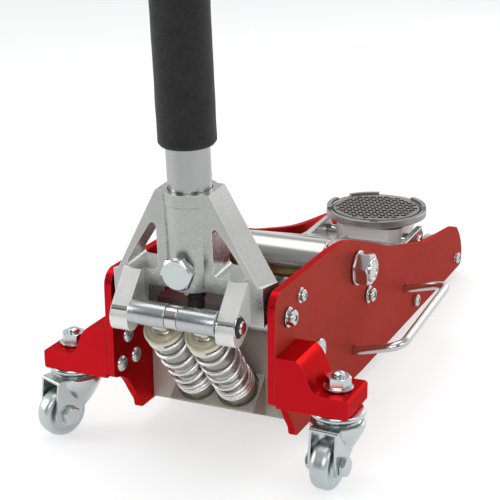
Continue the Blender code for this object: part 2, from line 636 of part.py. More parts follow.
def build_handle(yoke_pivot, steel, foam, rubber, zinc):
    axis = pivot("handle_axis", yoke_pivot, (0.0, HANDLE_AXIS_Y, 0.0))
    groove = LOCK_HEIGHT
    lower = [
        (TUBE_RADIUS - 3.0, HANDLE_FOOT), (TUBE_RADIUS, HANDLE_FOOT), (TUBE_RADIUS, groove - 6.0),
        (TUBE_RADIUS - 2.0, groove - 5.6), (TUBE_RADIUS - 2.0, groove + 5.6), (TUBE_RADIUS, groove + 6.0),
        (TUBE_RADIUS, LOWER_TUBE_END), (TUBE_RADIUS - 3.0, LOWER_TUBE_END),
    ]
    tube = place("handle_tube_lower", lathe_mesh(lower, 24), steel, axis)
    button_z = LOWER_TUBE_END - 9.0
    boolean(tube, lathe_mesh(rod_profile(4.2, -30.0, 0.0), 12, "Y"), at=(0.0, 0.0, button_z))

    upper = ring_profile(UPPER_TUBE_RADIUS - 2.0, UPPER_TUBE_RADIUS - 0.2, LOWER_TUBE_END - 90.0, HANDLE_TOP - 6.0)
    tube = place("handle_tube_upper", lathe_mesh(upper, 24), steel, axis)
    boolean(tube, lathe_mesh(rod_profile(4.2, -30.0, 0.0), 12, "Y"), at=(0.0, 0.0, button_z))

    sleeve = [
        (TUBE_RADIUS + GAP, SLEEVE_START), (SLEEVE_RADIUS - 1.0, SLEEVE_START), (SLEEVE_RADIUS, SLEEVE_START + 1.0),
        (SLEEVE_RADIUS, SLEEVE_END - 1.0), (SLEEVE_RADIUS - 1.0, SLEEVE_END), (TUBE_RADIUS + GAP, SLEEVE_END),
    ]
    place("foam_sleeve", lathe_mesh(sleeve, 24), foam, axis)
    grip = [
        (UPPER_TUBE_RADIUS + 0.1, HANDLE_TOP - 130.0), (UPPER_TUBE_RADIUS + 5.0, HANDLE_TOP - 130.0),
        (UPPER_TUBE_RADIUS + 3.5, HANDLE_TOP - 122.0), (UPPER_TUBE_RADIUS + 3.5, HANDLE_TOP - 4.0),
        (UPPER_TUBE_RADIUS + 1.0, HANDLE_TOP), (0.0, HANDLE_TOP), (0.0, HANDLE_TOP - 5.0),
        (UPPER_TUBE_RADIUS + 0.1, HANDLE_TOP - 5.0),
    ]
    place("handle_grip", grip_mesh(grip), rubber, axis)
    button = [(0.0, 7.0), (3.8, 7.0), (3.8, TUBE_RADIUS + 1.0), (2.4, TUBE_RADIUS + 2.2), (0.0, TUBE_RADIUS + 2.6)]
    button_axis = pivot("button_axis", axis, (0.0, 0.0, button_z), (90.0, 0.0, 0.0))
    place("snap_button", lathe_mesh(button, 12), zinc, button_axis)


def grip_mesh(profile):
    """A sleeve closed at its top: the profile runs up the outside, across, and back down inside."""
    outer = profile[:6]
    inner = [profile[6], profile[7]]
    points = [(0.0, outer[-1][1])] + list(reversed(outer[:-1])) + [inner[1], (0.0, inner[0][1])]
    return lathe_mesh(points, 24)


# ---------------------------------------------------------------- lift arm

def build_lift_arm(root, cast, gold, steel):
    pivot_y, pivot_z = ARM_PIVOT
    arm = pivot("arm_pivot", root, (0.0, pivot_y, pivot_z))
    reach = SADDLE_PIN[0] - pivot_y
    drop = SADDLE_PIN[1] - pivot_z

    lug = math.radians(LUG_ANGLE)
    lug_y = -LUG_REACH * math.sin(lug)
    lug_z = -LUG_REACH * math.cos(lug)
    cheek = (
        arc((0.0, 0.0), HOOD_RADIUS - 0.6, 200.0, HOOD_END, 8)
        + [(174.0, -36.6), (190.0, -38.5), (228.0, -37.5), (246.0, -37.0)]
        + arc((reach, drop), 12.0, 60.0, -110.0, 6)
        + [(170.0, -58.0), (60.0, -38.0), (20.0, -38.0), (lug_y + 14.0, lug_z + 2.0)]
        + arc((lug_y, lug_z), 11.0, 0.0, -180.0, 6)
    )
    for side, word in SIDES:
        low = ARM_CHEEK_X - ARM_CHEEK_THICKNESS
        bm = sided(prism_mesh(cheek, low, ARM_CHEEK_X, "YZ"), side)
        plate = place(f"lift_arm_{word}", bm, cast, arm)
        low, high = sorted((side * (low - 11.5), side * (low + 1.0)))
        boolean(plate, lathe_mesh(rod_profile(6.0, low, high), 16, "X"), "UNION", at=(0.0, lug_y, lug_z))
        low, high = sorted((side * 30.0, side * 60.0))
        bore(plate, 10.3, (0.0, 0.0, 0.0), low, high, segments=24)
        bore(plate, 6.3, (0.0, reach, drop), low, high, segments=16)

    half = ARM_CHEEK_X - ARM_CHEEK_THICKNESS - GAP
    hub = ring_profile(10.3, HUB_RADIUS, -half, half)
    place("lift_arm_hub", lathe_mesh(hub, 24, "X"), gold, arm)

    outer = arc((0.0, 0.0), HOOD_RADIUS, 180.0, HOOD_END, 12)
    inner = arc((0.0, 0.0), HOOD_RADIUS - 3.2, HOOD_END, 180.0, 12)
    top = [(172.0, -35.4), (184.0, -37.6)]
    under = [(183.4, -40.8), (171.2, -38.6)]
    hood = place("lift_arm_hood", prism_mesh(outer + top + under + inner, -half, half, "YZ"), steel, arm)
    slot = smooth([(-16.0, 46.0), (-20.0, 60.0), (-16.0, 90.0), (0.0, 100.0), (16.0, 90.0), (20.0, 60.0), (16.0, 46.0)], 2)
    boolean(hood, prism_mesh(slot, -60.0, 40.0, "XY"))

    pin = rod_profile(6.0, -ARM_CHEEK_X - 2.0, ARM_CHEEK_X + 2.0, 1.0)
    place("saddle_pin", lathe_mesh(pin, 16, "X"), steel, arm, at=(0.0, reach, drop))
    return arm


def build_ram(root, steel, cast):
    ram = pivot("ram_axis", root, (0.0, 0.0, RAM_HEIGHT))
    rod = rod_profile(9.0, 150.0, CROSSHEAD_Y - 6.3, 1.0)
    place("ram_rod", lathe_mesh(rod, 20, "Y"), steel, ram)
    head = block_mesh((-31.0, CROSSHEAD_Y - 6.0, -9.0), (31.0, CROSSHEAD_Y + 8.0, 9.0))
    place("ram_crosshead", head, steel, ram)

    lug = math.radians(LUG_ANGLE)
    rest_y = ARM_PIVOT[0] - LUG_REACH * math.sin(lug)
    low_z = ARM_PIVOT[1] - LUG_REACH - RAM_HEIGHT
    high_z = ARM_PIVOT[1] - LUG_REACH * math.cos(lug) - RAM_HEIGHT
    slot = (
        arc((rest_y, high_z), 7.4, 0.0, 180.0, 8)
        + arc((rest_y, low_z), 7.4, 180.0, 360.0, 8)
    )
    outline = [
        (rest_y - 13.0, high_z + 9.0), (rest_y - 8.0, high_z + 13.0), (rest_y + 10.0, high_z + 13.0),
        (rest_y + 18.0, 7.0), (CROSSHEAD_Y + 8.0, 7.0), (CROSSHEAD_Y + 8.0, -7.0), (rest_y + 18.0, -9.0),
        (rest_y + 10.0, low_z - 12.0), (rest_y - 8.0, low_z - 12.0), (rest_y - 13.0, low_z - 8.0),
    ]
    for side, word in SIDES:
        bm = sided(prism_mesh(outline, 31.4, 36.4, "YZ"), side)
        link = place(f"drag_link_{word}", bm, cast, ram)
        low, high = sorted((side * 26.0, side * 42.0))
        boolean(link, prism_mesh(slot, low, high, "YZ"))


# ---------------------------------------------------------------- saddle

def build_saddle(root, arm, cast, rubber, steel):
    pin_y = SADDLE_PIN[0]
    pin_z = SADDLE_PIN[1]
    tie_y = TIE_PIVOT[0] - ARM_PIVOT[0]
    tie_z = TIE_PIVOT[1] - ARM_PIVOT[1]
    bracket = pivot("bracket_pivot", arm, (0.0, pin_y - ARM_PIVOT[0], pin_z - ARM_PIVOT[1]))

    top = SADDLE_TOP - 12.0 - pin_z
    centre = SADDLE_CENTRE_Y - pin_y
    side_view = [
        (-17.0, top - 11.0), (-17.0, top), (centre + 31.0, top), (centre + 31.0, top - 11.0),
        (tie_y + 10.0, tie_z - 3.0), (tie_y + 6.0, tie_z - 8.0), (tie_y - 6.0, tie_z - 8.0),
        (-4.0, -9.0), (-11.0, -5.0),
    ]
    body = place("saddle_bracket", prism_mesh(side_view, -34.0, 34.0, "YZ"), cast, bracket)
    corners = ((20.0, centre + 17.0, 0.0), (-20.0, centre + 17.0, 90.0), (-20.0, -3.0, 180.0), (20.0, -3.0, 270.0))
    plan = []
    for x, y, start in corners:
        plan += arc((x, y), 14.0, start, start + 90.0, 6)
    boolean(body, prism_mesh(plan, -60.0, 40.0, "XY"), "INTERSECT")
    boolean(body, block_mesh((-24.0, -60.0, -80.0), (24.0, 80.0, top - 11.0)))
    bore(body, 6.3, (0.0, 0.0, 0.0), -60.0, 60.0, segments=16)
    bore(body, 5.3, (0.0, tie_y, tie_z), -60.0, 60.0, segments=16)
    boolean(body, lathe_mesh(rod_profile(8.3, -60.0, 60.0), 20), at=(0.0, centre, 0.0))
    tie_pin = rod_profile(5.0, -60.5, 60.5, 0.8)
    place("tie_rod_pin", lathe_mesh(tie_pin, 16, "X"), steel, bracket, at=(0.0, tie_y, tie_z))

    swivel = pivot("saddle_swivel", bracket, (0.0, centre, SADDLE_TOP - pin_z))
    ring = [
        (0.0, -19.5), (8.0, -19.5), (8.0, -11.7), (36.0, -11.7), (46.0, -8.4), (SADDLE_RADIUS, -6.5),
        (SADDLE_RADIUS, -0.4), (PAD_RADIUS + 1.2, -0.4), (PAD_RADIUS + 1.2, -4.0), (0.0, -4.0),
    ]
    ring = place("saddle_ring", lathe_mesh(ring, 40), cast, swivel)
    for middle, half in SADDLE_LUGS:
        wall = arc((0.0, 0.0), SADDLE_RADIUS - 0.4, middle - half, middle + half, 5)
        wall += arc((0.0, 0.0), PAD_RADIUS + 1.8, middle + half, middle - half, 5)
        boolean(ring, prism_mesh(wall, -2.0, 2.4, "XY"), "UNION")
    pad = rod_profile(PAD_RADIUS, -3.7, 0.0, 0.8)
    pad = place("saddle_pad", lathe_mesh(pad, 32), rubber, swivel)


def build_tie_rods(root, steel):
    tie = pivot("tie_pivot", root, (0.0, *TIE_PIVOT))
    reach = SADDLE_PIN[0] - ARM_PIVOT[0]
    drop = SADDLE_PIN[1] - ARM_PIVOT[1]
    slant = math.degrees(math.atan2(drop, reach))
    outline = arc((0.0, 0.0), 10.0, slant + 90.0, slant + 270.0, 8)
    outline += arc((reach, drop), 9.0, slant - 90.0, slant + 90.0, 8)
    for side, word in SIDES:
        bm = sided(prism_mesh(outline, TIE_ROD_X, TIE_ROD_X + TIE_ROD_THICKNESS, "YZ"), side)
        rod = place(f"tie_rod_{word}", bm, steel, tie)
        low, high = sorted((side * 45.0, side * 68.0))
        bore(rod, 5.3, (0.0, 0.0, 0.0), low, high, segments=16)
        bore(rod, 5.3, (0.0, reach, drop), low, high, segments=16)


# ---------------------------------------------------------------- wheels

def build_front_wheels(root, zinc):
    half = FRONT_WHEEL_WIDTH / 2.0
    profile = [
        (5.3, -half), (11.0, -half), (12.0, -half + 3.0), (19.0, -half + 3.0), (20.0, -half),
        (FRONT_WHEEL_RADIUS, -half + 1.0), (FRONT_WHEEL_RADIUS, half - 1.0), (20.0, half),
        (19.0, half - 3.0), (12.0, half - 3.0), (11.0, half), (5.3, half),
    ]
    for side, word in SIDES:
        at = (side * FRONT_WHEEL_X, *FRONT_AXLE)
        place(f"front_wheel_{word}", lathe_mesh(profile, 24, "X"), zinc, root, at=at)


def build_casters(root, zinc, steel):
    half = CASTER_WIDTH / 2.0
    wheel = [
        (4.3, -half - 1.0), (8.0, -half - 1.0), (9.5, -half + 1.2), (17.0, -half),
        (CASTER_RADIUS, -half + 3.0), (CASTER_RADIUS, half - 3.0),
        (17.0, half), (9.5, half - 1.2), (8.0, half + 1.0), (4.3, half + 1.0),
    ]
    wheel_z = CASTER_RADIUS - 49.7
    for side, word in SIDES:
        angle = CASTER_SWIVEL_RIGHT if side > 0 else CASTER_SWIVEL_LEFT
        swivel = pivot(f"caster_swivel_{word}", root, (side * STEM_X, STEM_Y, 49.7), (0.0, 0.0, angle))
        # A pressed fork: a round dish on top that tapers into two parallel cheeks.
        dish = [
            (0.0, -24.0), (11.0, -24.0), (16.8, -14.0), (20.3, -6.2), (20.3, -2.4), (19.3, -1.6), (17.0, -1.4),
            (16.2, 0.0), (0.0, 0.0),
        ]
        fork = place(f"caster_fork_{word}", lathe_mesh(dish, 24), zinc, swivel)
        leg = [
            (11.0, -1.8), (-23.6, -1.8), (-25.4, -16.0), (-26.0, wheel_z + 2.0), (-20.6, wheel_z - 7.6),
            (-11.0, wheel_z - 7.6), (-2.5, wheel_z + 2.0), (8.0, -20.0),
        ]
        boolean(fork, prism_mesh(leg, -11.2, 11.2, "YZ"), "UNION")
        hollow = [(0.0, -30.0), (5.9, -30.0), (9.2, -24.3), (14.6, -15.0), (18.3, -6.6), (18.3, -4.2), (0.0, -4.2)]
        boolean(fork, lathe_mesh(hollow, 24))
        boolean(fork, prism_mesh(
            [(20.0, -4.2), (-40.0, -4.2), (-40.0, -60.0), (20.0, -60.0)], -9.2, 9.2, "YZ"))
        bore(fork, 3.8, (0.0, -CASTER_TRAIL, wheel_z), -20.0, 20.0, segments=16)

        axle = pivot(f"caster_axle_{word}_axis", swivel, (0.0, -CASTER_TRAIL, wheel_z))
        bolt = prism_mesh(hexagon(10.0, turn=10.0), 11.5, 16.0, "YZ")
        bolt = place(f"caster_axle_{word}", bolt, zinc, axle)
        boolean(bolt, lathe_mesh(rod_profile(3.5, -17.6, 13.0), 16, "X"), "UNION")
        boolean(bolt, prism_mesh(hexagon(10.0, turn=25.0), -15.6, -11.5, "YZ"), "UNION")
        place(f"caster_wheel_{word}", lathe_mesh(wheel, 24, "X"), zinc, axle)


def main():
    for obj in list(bpy.data.objects):
        bpy.data.objects.remove(obj, do_unlink=True)

    red = material("red_anodised", (0.55, 0.02, 0.02), 0.6, 0.35)
    cast = material("cast_aluminium", (0.62, 0.63, 0.64), 0.9, 0.42)
    block = material("sand_cast_grey", (0.45, 0.43, 0.40), 0.7, 0.6)
    zinc = material("zinc_plate", (0.72, 0.73, 0.74), 1.0, 0.25)
    steel = material("polished_steel", (0.60, 0.60, 0.60), 1.0, 0.2)
    brass = material("yellow_passivated", (0.55, 0.48, 0.25), 1.0, 0.3)
    saddle = material("grey_casting", (0.42, 0.43, 0.43), 0.6, 0.55)
    foam = material("black_foam", (0.015, 0.015, 0.015), 0.0, 0.85)
    rubber = material("rubber", (0.05, 0.05, 0.05), 0.0, 0.7)

    root = pivot("jack", None, (0.0, -MIDDLE_Y, 0.0))
    build_side_plates(root, red)
    build_brackets(root, red, zinc)
    build_carry_handle(root, steel)
    build_cross_members(root, zinc, steel)
    build_pump(root, block, zinc, brass, steel)
    yoke_pivot = build_yoke(root, cast, steel, zinc)
    build_handle(yoke_pivot, zinc, foam, rubber, zinc)
    arm = build_lift_arm(root, cast, brass, steel)
    build_ram(root, steel, zinc)
    build_saddle(root, arm, saddle, rubber, steel)
    build_tie_rods(root, zinc)
    build_front_wheels(root, zinc)
    build_casters(root, zinc, steel)
    bpy.context.view_layer.update()


main()
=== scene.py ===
import json
from math import atan2, cos, degrees, hypot, pi, radians, sin, sqrt

import bmesh
import bpy
from mathutils import Matrix, Vector

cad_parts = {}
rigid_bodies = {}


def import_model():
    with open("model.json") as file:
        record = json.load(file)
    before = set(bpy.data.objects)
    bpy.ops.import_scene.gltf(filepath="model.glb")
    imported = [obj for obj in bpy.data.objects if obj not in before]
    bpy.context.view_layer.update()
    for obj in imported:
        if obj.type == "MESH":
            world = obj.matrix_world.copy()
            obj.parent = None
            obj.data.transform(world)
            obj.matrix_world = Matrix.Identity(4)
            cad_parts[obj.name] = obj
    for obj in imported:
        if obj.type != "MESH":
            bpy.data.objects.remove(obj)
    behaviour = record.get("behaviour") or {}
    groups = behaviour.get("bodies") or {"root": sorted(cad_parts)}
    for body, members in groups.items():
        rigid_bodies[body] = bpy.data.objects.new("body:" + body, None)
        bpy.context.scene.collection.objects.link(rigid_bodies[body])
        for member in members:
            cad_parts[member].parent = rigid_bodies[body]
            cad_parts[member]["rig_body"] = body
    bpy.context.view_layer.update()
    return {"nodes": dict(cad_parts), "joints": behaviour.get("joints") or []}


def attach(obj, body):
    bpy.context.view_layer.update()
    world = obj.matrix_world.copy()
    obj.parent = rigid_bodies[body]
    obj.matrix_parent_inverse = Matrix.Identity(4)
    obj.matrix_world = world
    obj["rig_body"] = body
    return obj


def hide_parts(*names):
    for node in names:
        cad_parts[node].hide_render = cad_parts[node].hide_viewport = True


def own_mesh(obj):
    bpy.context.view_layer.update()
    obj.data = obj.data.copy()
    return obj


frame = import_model()
NODES = frame["nodes"]
JOINTS = {j["name"]: j for j in frame["joints"]}
SIDES = ((1, "right"), (-1, "left"))
MM = 0.001
PLATE_INSIDE = 62.6
PLATE_OUTSIDE = 68.6
FLOOR_GLOW = 0.55


# ---- places

def local(point, turn=None):
    """Millimetres in a part's own frame, to metres in the row frame."""
    return Matrix.Translation(Vector(point)) @ (turn or Matrix.Identity(4)) @ Matrix.Scale(MM, 4)


def grey(value):
    return value, value, value


def to(x, y, z):
    return Matrix.Translation((x, y, z))


def joint_at(name):
    return Vector(JOINTS[name]["pos_m"])


def rot(turn, axis):
    return Matrix.Rotation(radians(turn), 4, axis)


HANDLE_DIRECTION = Vector(JOINTS["handle_twist"]["axis"])
LEAN = degrees(atan2(-HANDLE_DIRECTION.y, HANDLE_DIRECTION.z))
PUMP_DIRECTION = Vector(JOINTS["pump_right_stroke"]["axis"])
PUMP_LEAN = degrees(atan2(PUMP_DIRECTION.y, -PUMP_DIRECTION.z))
JACK = local((0.0, -0.216, 0.0))
YOKE = local(joint_at("yoke_swing"), rot(LEAN, "X"))
HANDLE = local(joint_at("handle_twist"), rot(LEAN, "X"))
ROLLERS = local(Vector((0.0, *joint_at("roller_right_spin")[1:])), rot(LEAN, "X"))
PUMP = {s: local((s * 0.0166, -0.1691, 0.0473), rot(PUMP_LEAN, "X")) for s, _ in SIDES}
ARM = local(joint_at("lift_arm_raise"))
BRACKET = local(joint_at("saddle_bracket_level"))
SADDLE = local(joint_at("saddle_turn"))
VALVE = local(joint_at("release_valve_turn"), rot(90.0, "X"))
CASTER = {}
CASTER_WHEEL = {}
for _s, _w in SIDES:
    _axle = Vector(JOINTS[f"caster_wheel_{_w}_spin"]["axis"])
    _turn = Matrix.Rotation(atan2(_axle.y, _axle.x), 4, "Z")
    CASTER[_s] = local(joint_at(f"caster_{_w}_swivel"), _turn)
    CASTER_WHEEL[_s] = local(joint_at(f"caster_wheel_{_w}_spin"), _turn)


# ---- materials

class Tree:
    """Shorthand for building a material's nodes."""

    def __init__(self, name):
        self.mat = bpy.data.materials.new(name)
        self.mat.use_nodes = True
        self.nodes = self.mat.node_tree.nodes
        self.shader = self.nodes["Principled BSDF"]
        self.coords = self.nodes.new("ShaderNodeTexCoord").outputs["Object"]

    def new(self, kind, **settings):
        node = self.nodes.new("ShaderNode" + kind)
        for key, value in settings.items():
            setattr(node, key, value)
        return node

    def link(self, out, socket):
        self.mat.node_tree.links.new(out, socket)

    def stretched(self, scale):
        node = self.new("Mapping")
        node.inputs["Scale"].default_value = scale
        self.link(self.coords, node.inputs["Vector"])
        return node.outputs["Vector"]

    def along(self, axis):
        node = self.new("SeparateXYZ")
        self.link(self.coords, node.inputs[0])
        return node.outputs[axis]

    def noise(self, scale, detail=3.0, rough=0.55, stretch=None):
        node = self.new("TexNoise")
        node.inputs["Scale"].default_value = scale
        node.inputs["Detail"].default_value = detail
        node.inputs["Roughness"].default_value = rough
        self.link(self.stretched(stretch) if stretch else self.coords, node.inputs["Vector"])
        return node.outputs["Fac"]

    def cells(self, scale):
        node = self.new("TexVoronoi")
        node.inputs["Scale"].default_value = scale
        self.link(self.coords, node.inputs["Vector"])
        return node.outputs["Distance"]

    def spread(self, value, low, high, to_low=0.0, to_high=1.0):
        node = self.new("MapRange", clamp=True)
        self.link(value, node.inputs["Value"])
        for key, number in (("From Min", low), ("From Max", high), ("To Min", to_low), ("To Max", to_high)):
            node.inputs[key].default_value = number
        return node.outputs["Result"]

    def mix(self, factor, a, b):
        node = self.new("Mix", data_type="RGBA")
        self.link(factor, node.inputs[0])
        for socket, value in ((node.inputs[6], a), (node.inputs[7], b)):
            if isinstance(value, tuple):
                socket.default_value = (*value, 1.0)
            else:
                self.link(value, socket)
        return node.outputs[2]

    def math(self, operation, a, b=0.0):
        node = self.new("Math", operation=operation)
        for socket, value in ((node.inputs[0], a), (node.inputs[1], b)):
            if isinstance(value, float):
                socket.default_value = value
            else:
                self.link(value, socket)
        return node.outputs["Value"]

    def edges(self, radius, low, high):
        """1 on sharp outer and inner edges, 0 on the flats."""
        bevel = self.new("Bevel", samples=6)
        bevel.inputs["Radius"].default_value = radius
        geometry = self.new("NewGeometry")
        dot = self.new("VectorMath", operation="DOT_PRODUCT")
        self.link(bevel.outputs["Normal"], dot.inputs[0])
        self.link(geometry.outputs["Normal"], dot.inputs[1])
        return self.spread(dot.outputs["Value"], high, low)

    def bump(self, height, strength, distance, before=None):
        node = self.new("Bump")
        node.inputs["Strength"].default_value = strength
        node.inputs["Distance"].default_value = distance
        self.link(height, node.inputs["Height"])
        if before is not None:
            self.link(before, node.inputs["Normal"])
        return node.outputs["Normal"]

    def finish(self, colour, rough, normal=None, **plain):
        self.link(colour, self.shader.inputs["Base Color"])
        self.link(rough, self.shader.inputs["Roughness"])
        if normal is not None:
            self.link(normal, self.shader.inputs["Normal"])
        for key, value in plain.items():
            self.shader.inputs[key.replace("_", " ")].default_value = value
        return self.mat


def cast_metal(name, colour, dark, rough, metallic, grain, depth, edge=None, edge_gain=0.8):
    """Cast or blasted metal: sandy grain, uneven tone and brighter rubbed edges."""
    t = Tree(name)
    broad = t.spread(t.noise(28.0, 3.0), 0.34, 0.66)
    fine = t.noise(grain, 4.0, 0.65)
    tone = t.mix(t.math("MULTIPLY", broad, 0.55), colour, dark)
    tone = t.mix(t.spread(fine, 0.35, 0.7, 0.0, 0.05 + depth * 0.7), tone, dark)
    roughness = t.spread(t.noise(grain * 0.3, 3.0), 0.3, 0.7, rough - 0.07, rough + 0.09)
    if edge is not None:
        edge_mask = t.math("MULTIPLY", t.edges(0.0011, 0.62, 0.93), edge_gain)
        tone = t.mix(edge_mask, tone, edge)
        roughness = t.math("SUBTRACT", roughness, t.math("MULTIPLY", edge_mask, 0.12))
    normal = t.bump(fine, depth, 0.0002)
    normal = t.bump(t.noise(grain * 0.22, 2.0), depth * 0.6, 0.0005, normal)
    return t.finish(tone, roughness, normal, Metallic=metallic)


def turned_metal(name, colour, dark, rough, streaks, depth=0.12, metallic=1.0, tint=None, marks=0.22):
    """Ground, turned or drawn metal: streaks along the given stretch and faint handling marks."""
    t = Tree(name)
    lines = t.noise(90.0, 3.0, 0.6, streaks)
    blotch = t.noise(32.0, 3.0)
    tone = t.mix(t.spread(lines, 0.3, 0.75, 0.0, 0.22), colour, dark)
    tone = t.mix(t.spread(blotch, 0.45, 0.75, 0.0, marks), tone, tint or dark)
    edge_mask = t.edges(0.0006, 0.62, 0.93)
    tone = t.mix(t.math("MULTIPLY", edge_mask, 0.6), tone, grey(0.95))
    roughness = t.math(
        "ADD", t.spread(lines, 0.3, 0.7, rough - 0.03, rough + 0.05),
        t.spread(blotch, 0.5, 0.8, 0.0, marks * 0.25),
    )
    normal = t.bump(lines, depth, 0.00003)
    return t.finish(tone, roughness, normal, Metallic=metallic)


def red_metal(name, colour, deep, face, rough):
    """Red anodised aluminium. The plates' outer faces carry a painted reflection, a pale brick-red haze, and
    their cut edges a painted highlight of brighter red.
    """
    t = Tree(name)
    broad = t.spread(t.noise(9.0, 3.0), 0.35, 0.65)
    fine = t.noise(1500.0, 3.0, 0.6)
    tone = t.mix(t.math("MULTIPLY", broad, 0.4), colour, deep)
    sideways = t.math("ABSOLUTE", t.along("X"))
    outside = t.spread(sideways, 0.0681, 0.06855)
    near = t.spread(sideways, 0.0688, 0.0687)
    outside = t.math("MULTIPLY", outside, near)
    # Painted reflection: the plates' outer faces get a pale brick-red haze that stands for the soft light
    # they reflect.
    painted_haze = t.mix(t.spread(t.noise(6.0, 2.0), 0.35, 0.65, 0.0, 0.5), face, tuple(0.8 * c for c in face))
    tone = t.mix(outside, tone, painted_haze)
    tone = t.mix(t.spread(fine, 0.4, 0.75, 0.0, 0.15), tone, deep)
    # Painted highlight: the edges, apart from the outer faces, turn a brighter red.
    edge_mask = t.math("MULTIPLY", t.edges(0.0011, 0.75, 0.99), t.math("SUBTRACT", 1.0, outside))
    tone = t.mix(t.math("MULTIPLY", edge_mask, 0.7), tone, (0.92, 0.03, 0.04))
    scuffs = t.spread(t.noise(420.0, 5.0, 0.8, (1.0, 0.12, 0.3)), 0.68, 0.76)
    tone = t.mix(t.math("MULTIPLY", scuffs, 0.12), tone, (0.72, 0.36, 0.33))
    base_rough = t.spread(t.noise(60.0, 3.0), 0.3, 0.7, rough - 0.04, rough + 0.05)
    roughness = t.math("ADD", base_rough, t.math("MULTIPLY", outside, 0.10))
    normal = t.bump(fine, 0.08, 0.0001)
    sheen = {"Specular_Tint": (0.72, 0.14, 0.11, 1.0), "Coat_Weight": 0.07, "Coat_Roughness": 0.34}
    return t.finish(tone, roughness, normal, Metallic=0.93, **sheen)


def foam_material(name):
    t = Tree(name)
    cells = t.cells(900.0)
    broad = t.noise(70.0, 3.0)
    tone = t.mix(t.spread(broad, 0.35, 0.7), grey(0.011), (0.022, 0.022, 0.021))
    tone = t.mix(t.spread(cells, 0.1, 0.6, 0.0, 0.5), tone, grey(0.006))
    roughness = t.spread(t.noise(300.0), 0.3, 0.7, 0.82, 0.94)
    normal = t.bump(cells, 0.5, 0.0002)
    normal = t.bump(t.noise(140.0, 3.0), 0.35, 0.0004, normal)
    return t.finish(tone, roughness, normal, Metallic=0.0, Sheen_Weight=0.12, Sheen_Roughness=0.5)


def rubber_material(name, colour, light):
    t = Tree(name)
    broad = t.noise(120.0, 4.0, 0.6)
    fine = t.noise(1400.0, 3.0)
    tone = t.mix(t.spread(broad, 0.35, 0.7), colour, light)
    edge_mask = t.edges(0.0006, 0.75, 0.99)
    tone = t.mix(t.math("MULTIPLY", edge_mask, 0.5), tone, tuple(min(1.0, c * 1.7) for c in light))
    roughness = t.spread(broad, 0.3, 0.7, 0.55, 0.78)
    return t.finish(tone, roughness, t.bump(fine, 0.35, 0.0002), Metallic=0.0)


def pad_material(name, colour, light):
    """Grey rubber with painted shade in its recesses: below the top face it darkens quickly to black."""
    t = Tree(name)
    top = (SADDLE @ Vector()).z
    # Painted shade: below the top face the holes turn black.
    deep = t.spread(t.along("Z"), top - 0.00012, top - 0.0005)
    broad = t.noise(120.0, 4.0, 0.6)
    tone = t.mix(t.spread(broad, 0.35, 0.7), colour, light)
    tone = t.mix(t.math("MULTIPLY", t.edges(0.0005, 0.75, 0.99), 0.5), tone, (0.34, 0.32, 0.29))
    tone = t.mix(deep, tone, grey(0.006))
    roughness = t.spread(broad, 0.3, 0.7, 0.42, 0.62)
    return t.finish(tone, roughness, t.bump(t.noise(1400.0, 3.0), 0.3, 0.0002), Metallic=0.0)


def block_material(name):
    """Sand-cast pump block with painted shade: dark on top where the yoke shades it."""
    t = Tree(name)
    grain = t.noise(620.0, 4.0, 0.65)
    broad = t.spread(t.noise(24.0, 3.0), 0.34, 0.66)
    tone = t.mix(broad, (0.50, 0.475, 0.42), (0.38, 0.355, 0.30))
    tone = t.mix(t.spread(grain, 0.35, 0.7, 0.0, 0.25), tone, (0.24, 0.22, 0.18))
    # Painted shade: the block darkens towards its top, where the yoke and lift arm shade it; the bright edges
    # are left out there.
    painted_top_shade = t.spread(
        t.math("ADD", t.along("Z"), t.spread(t.noise(60.0, 3.0), 0.3, 0.7, -0.003, 0.003)), 0.082,
        0.094,
    )
    tone = t.mix(t.math("MULTIPLY", painted_top_shade, 0.95), tone, (0.018, 0.016, 0.014))
    edge_mask = t.math("MULTIPLY", t.edges(0.0012, 0.62, 0.93), 0.75)
    tone = t.mix(t.math("MULTIPLY", edge_mask, t.math("SUBTRACT", 1.0, painted_top_shade)), tone, (0.62, 0.60, 0.54))
    roughness = t.spread(t.noise(200.0, 3.0), 0.3, 0.7, 0.42, 0.56)
    normal = t.bump(grain, 0.5, 0.0002)
    normal = t.bump(t.noise(150.0, 2.0), 0.3, 0.0006, normal)
    return t.finish(tone, roughness, normal, Metallic=0.5)


def plain_floor():
    t = Tree("studio_floor")
    tone = t.mix(t.spread(t.noise(3.0, 2.0), 0.3, 0.7), grey(0.50), grey(0.52))
    reach = t.spread(t.along("Y"), -1.5, -0.5)
    dim = t.mix(reach, grey(0.05), (0.72, 0.74, 0.74))
    glow = t.mix(t.new("LightPath").outputs["Is Camera Ray"], dim, (0.985, 1.0, 1.0))
    t.link(glow, t.shader.inputs["Emission Color"])
    return t.finish(
        tone, t.spread(t.noise(2.0, 2.0), 0.3, 0.7, 0.75, 0.85), Metallic=0.0, Emission_Strength=FLOOR_GLOW,
    )


RED = red_metal("anodised_red", (0.60, 0.008, 0.016), (0.46, 0.006, 0.011), (0.44, 0.100, 0.076), 0.36)
CAST = cast_metal(
    "cast_aluminium", (0.50, 0.505, 0.49), (0.42, 0.425, 0.41), 0.29, 0.97, 1400.0, 0.025, (0.97, 0.97, 0.95),
    1.0,
)
EAR = cast_metal(
    "cast_ears", (0.84, 0.84, 0.82), (0.74, 0.74, 0.72), 0.38, 0.55, 1300.0, 0.1, (0.95, 0.95, 0.93),
)
ARM_CAST = cast_metal(
    "arm_casting", (0.66, 0.66, 0.64), (0.52, 0.52, 0.50), 0.30, 0.9, 1000.0, 0.2, (0.95, 0.95, 0.93),
)
MACHINED = turned_metal(
    "machined_aluminium", (0.86, 0.86, 0.84), (0.72, 0.72, 0.70), 0.30, (1.0, 8.0, 30.0), 0.06, 0.45,
)
PUMP_CAST = block_material("pump_casting")
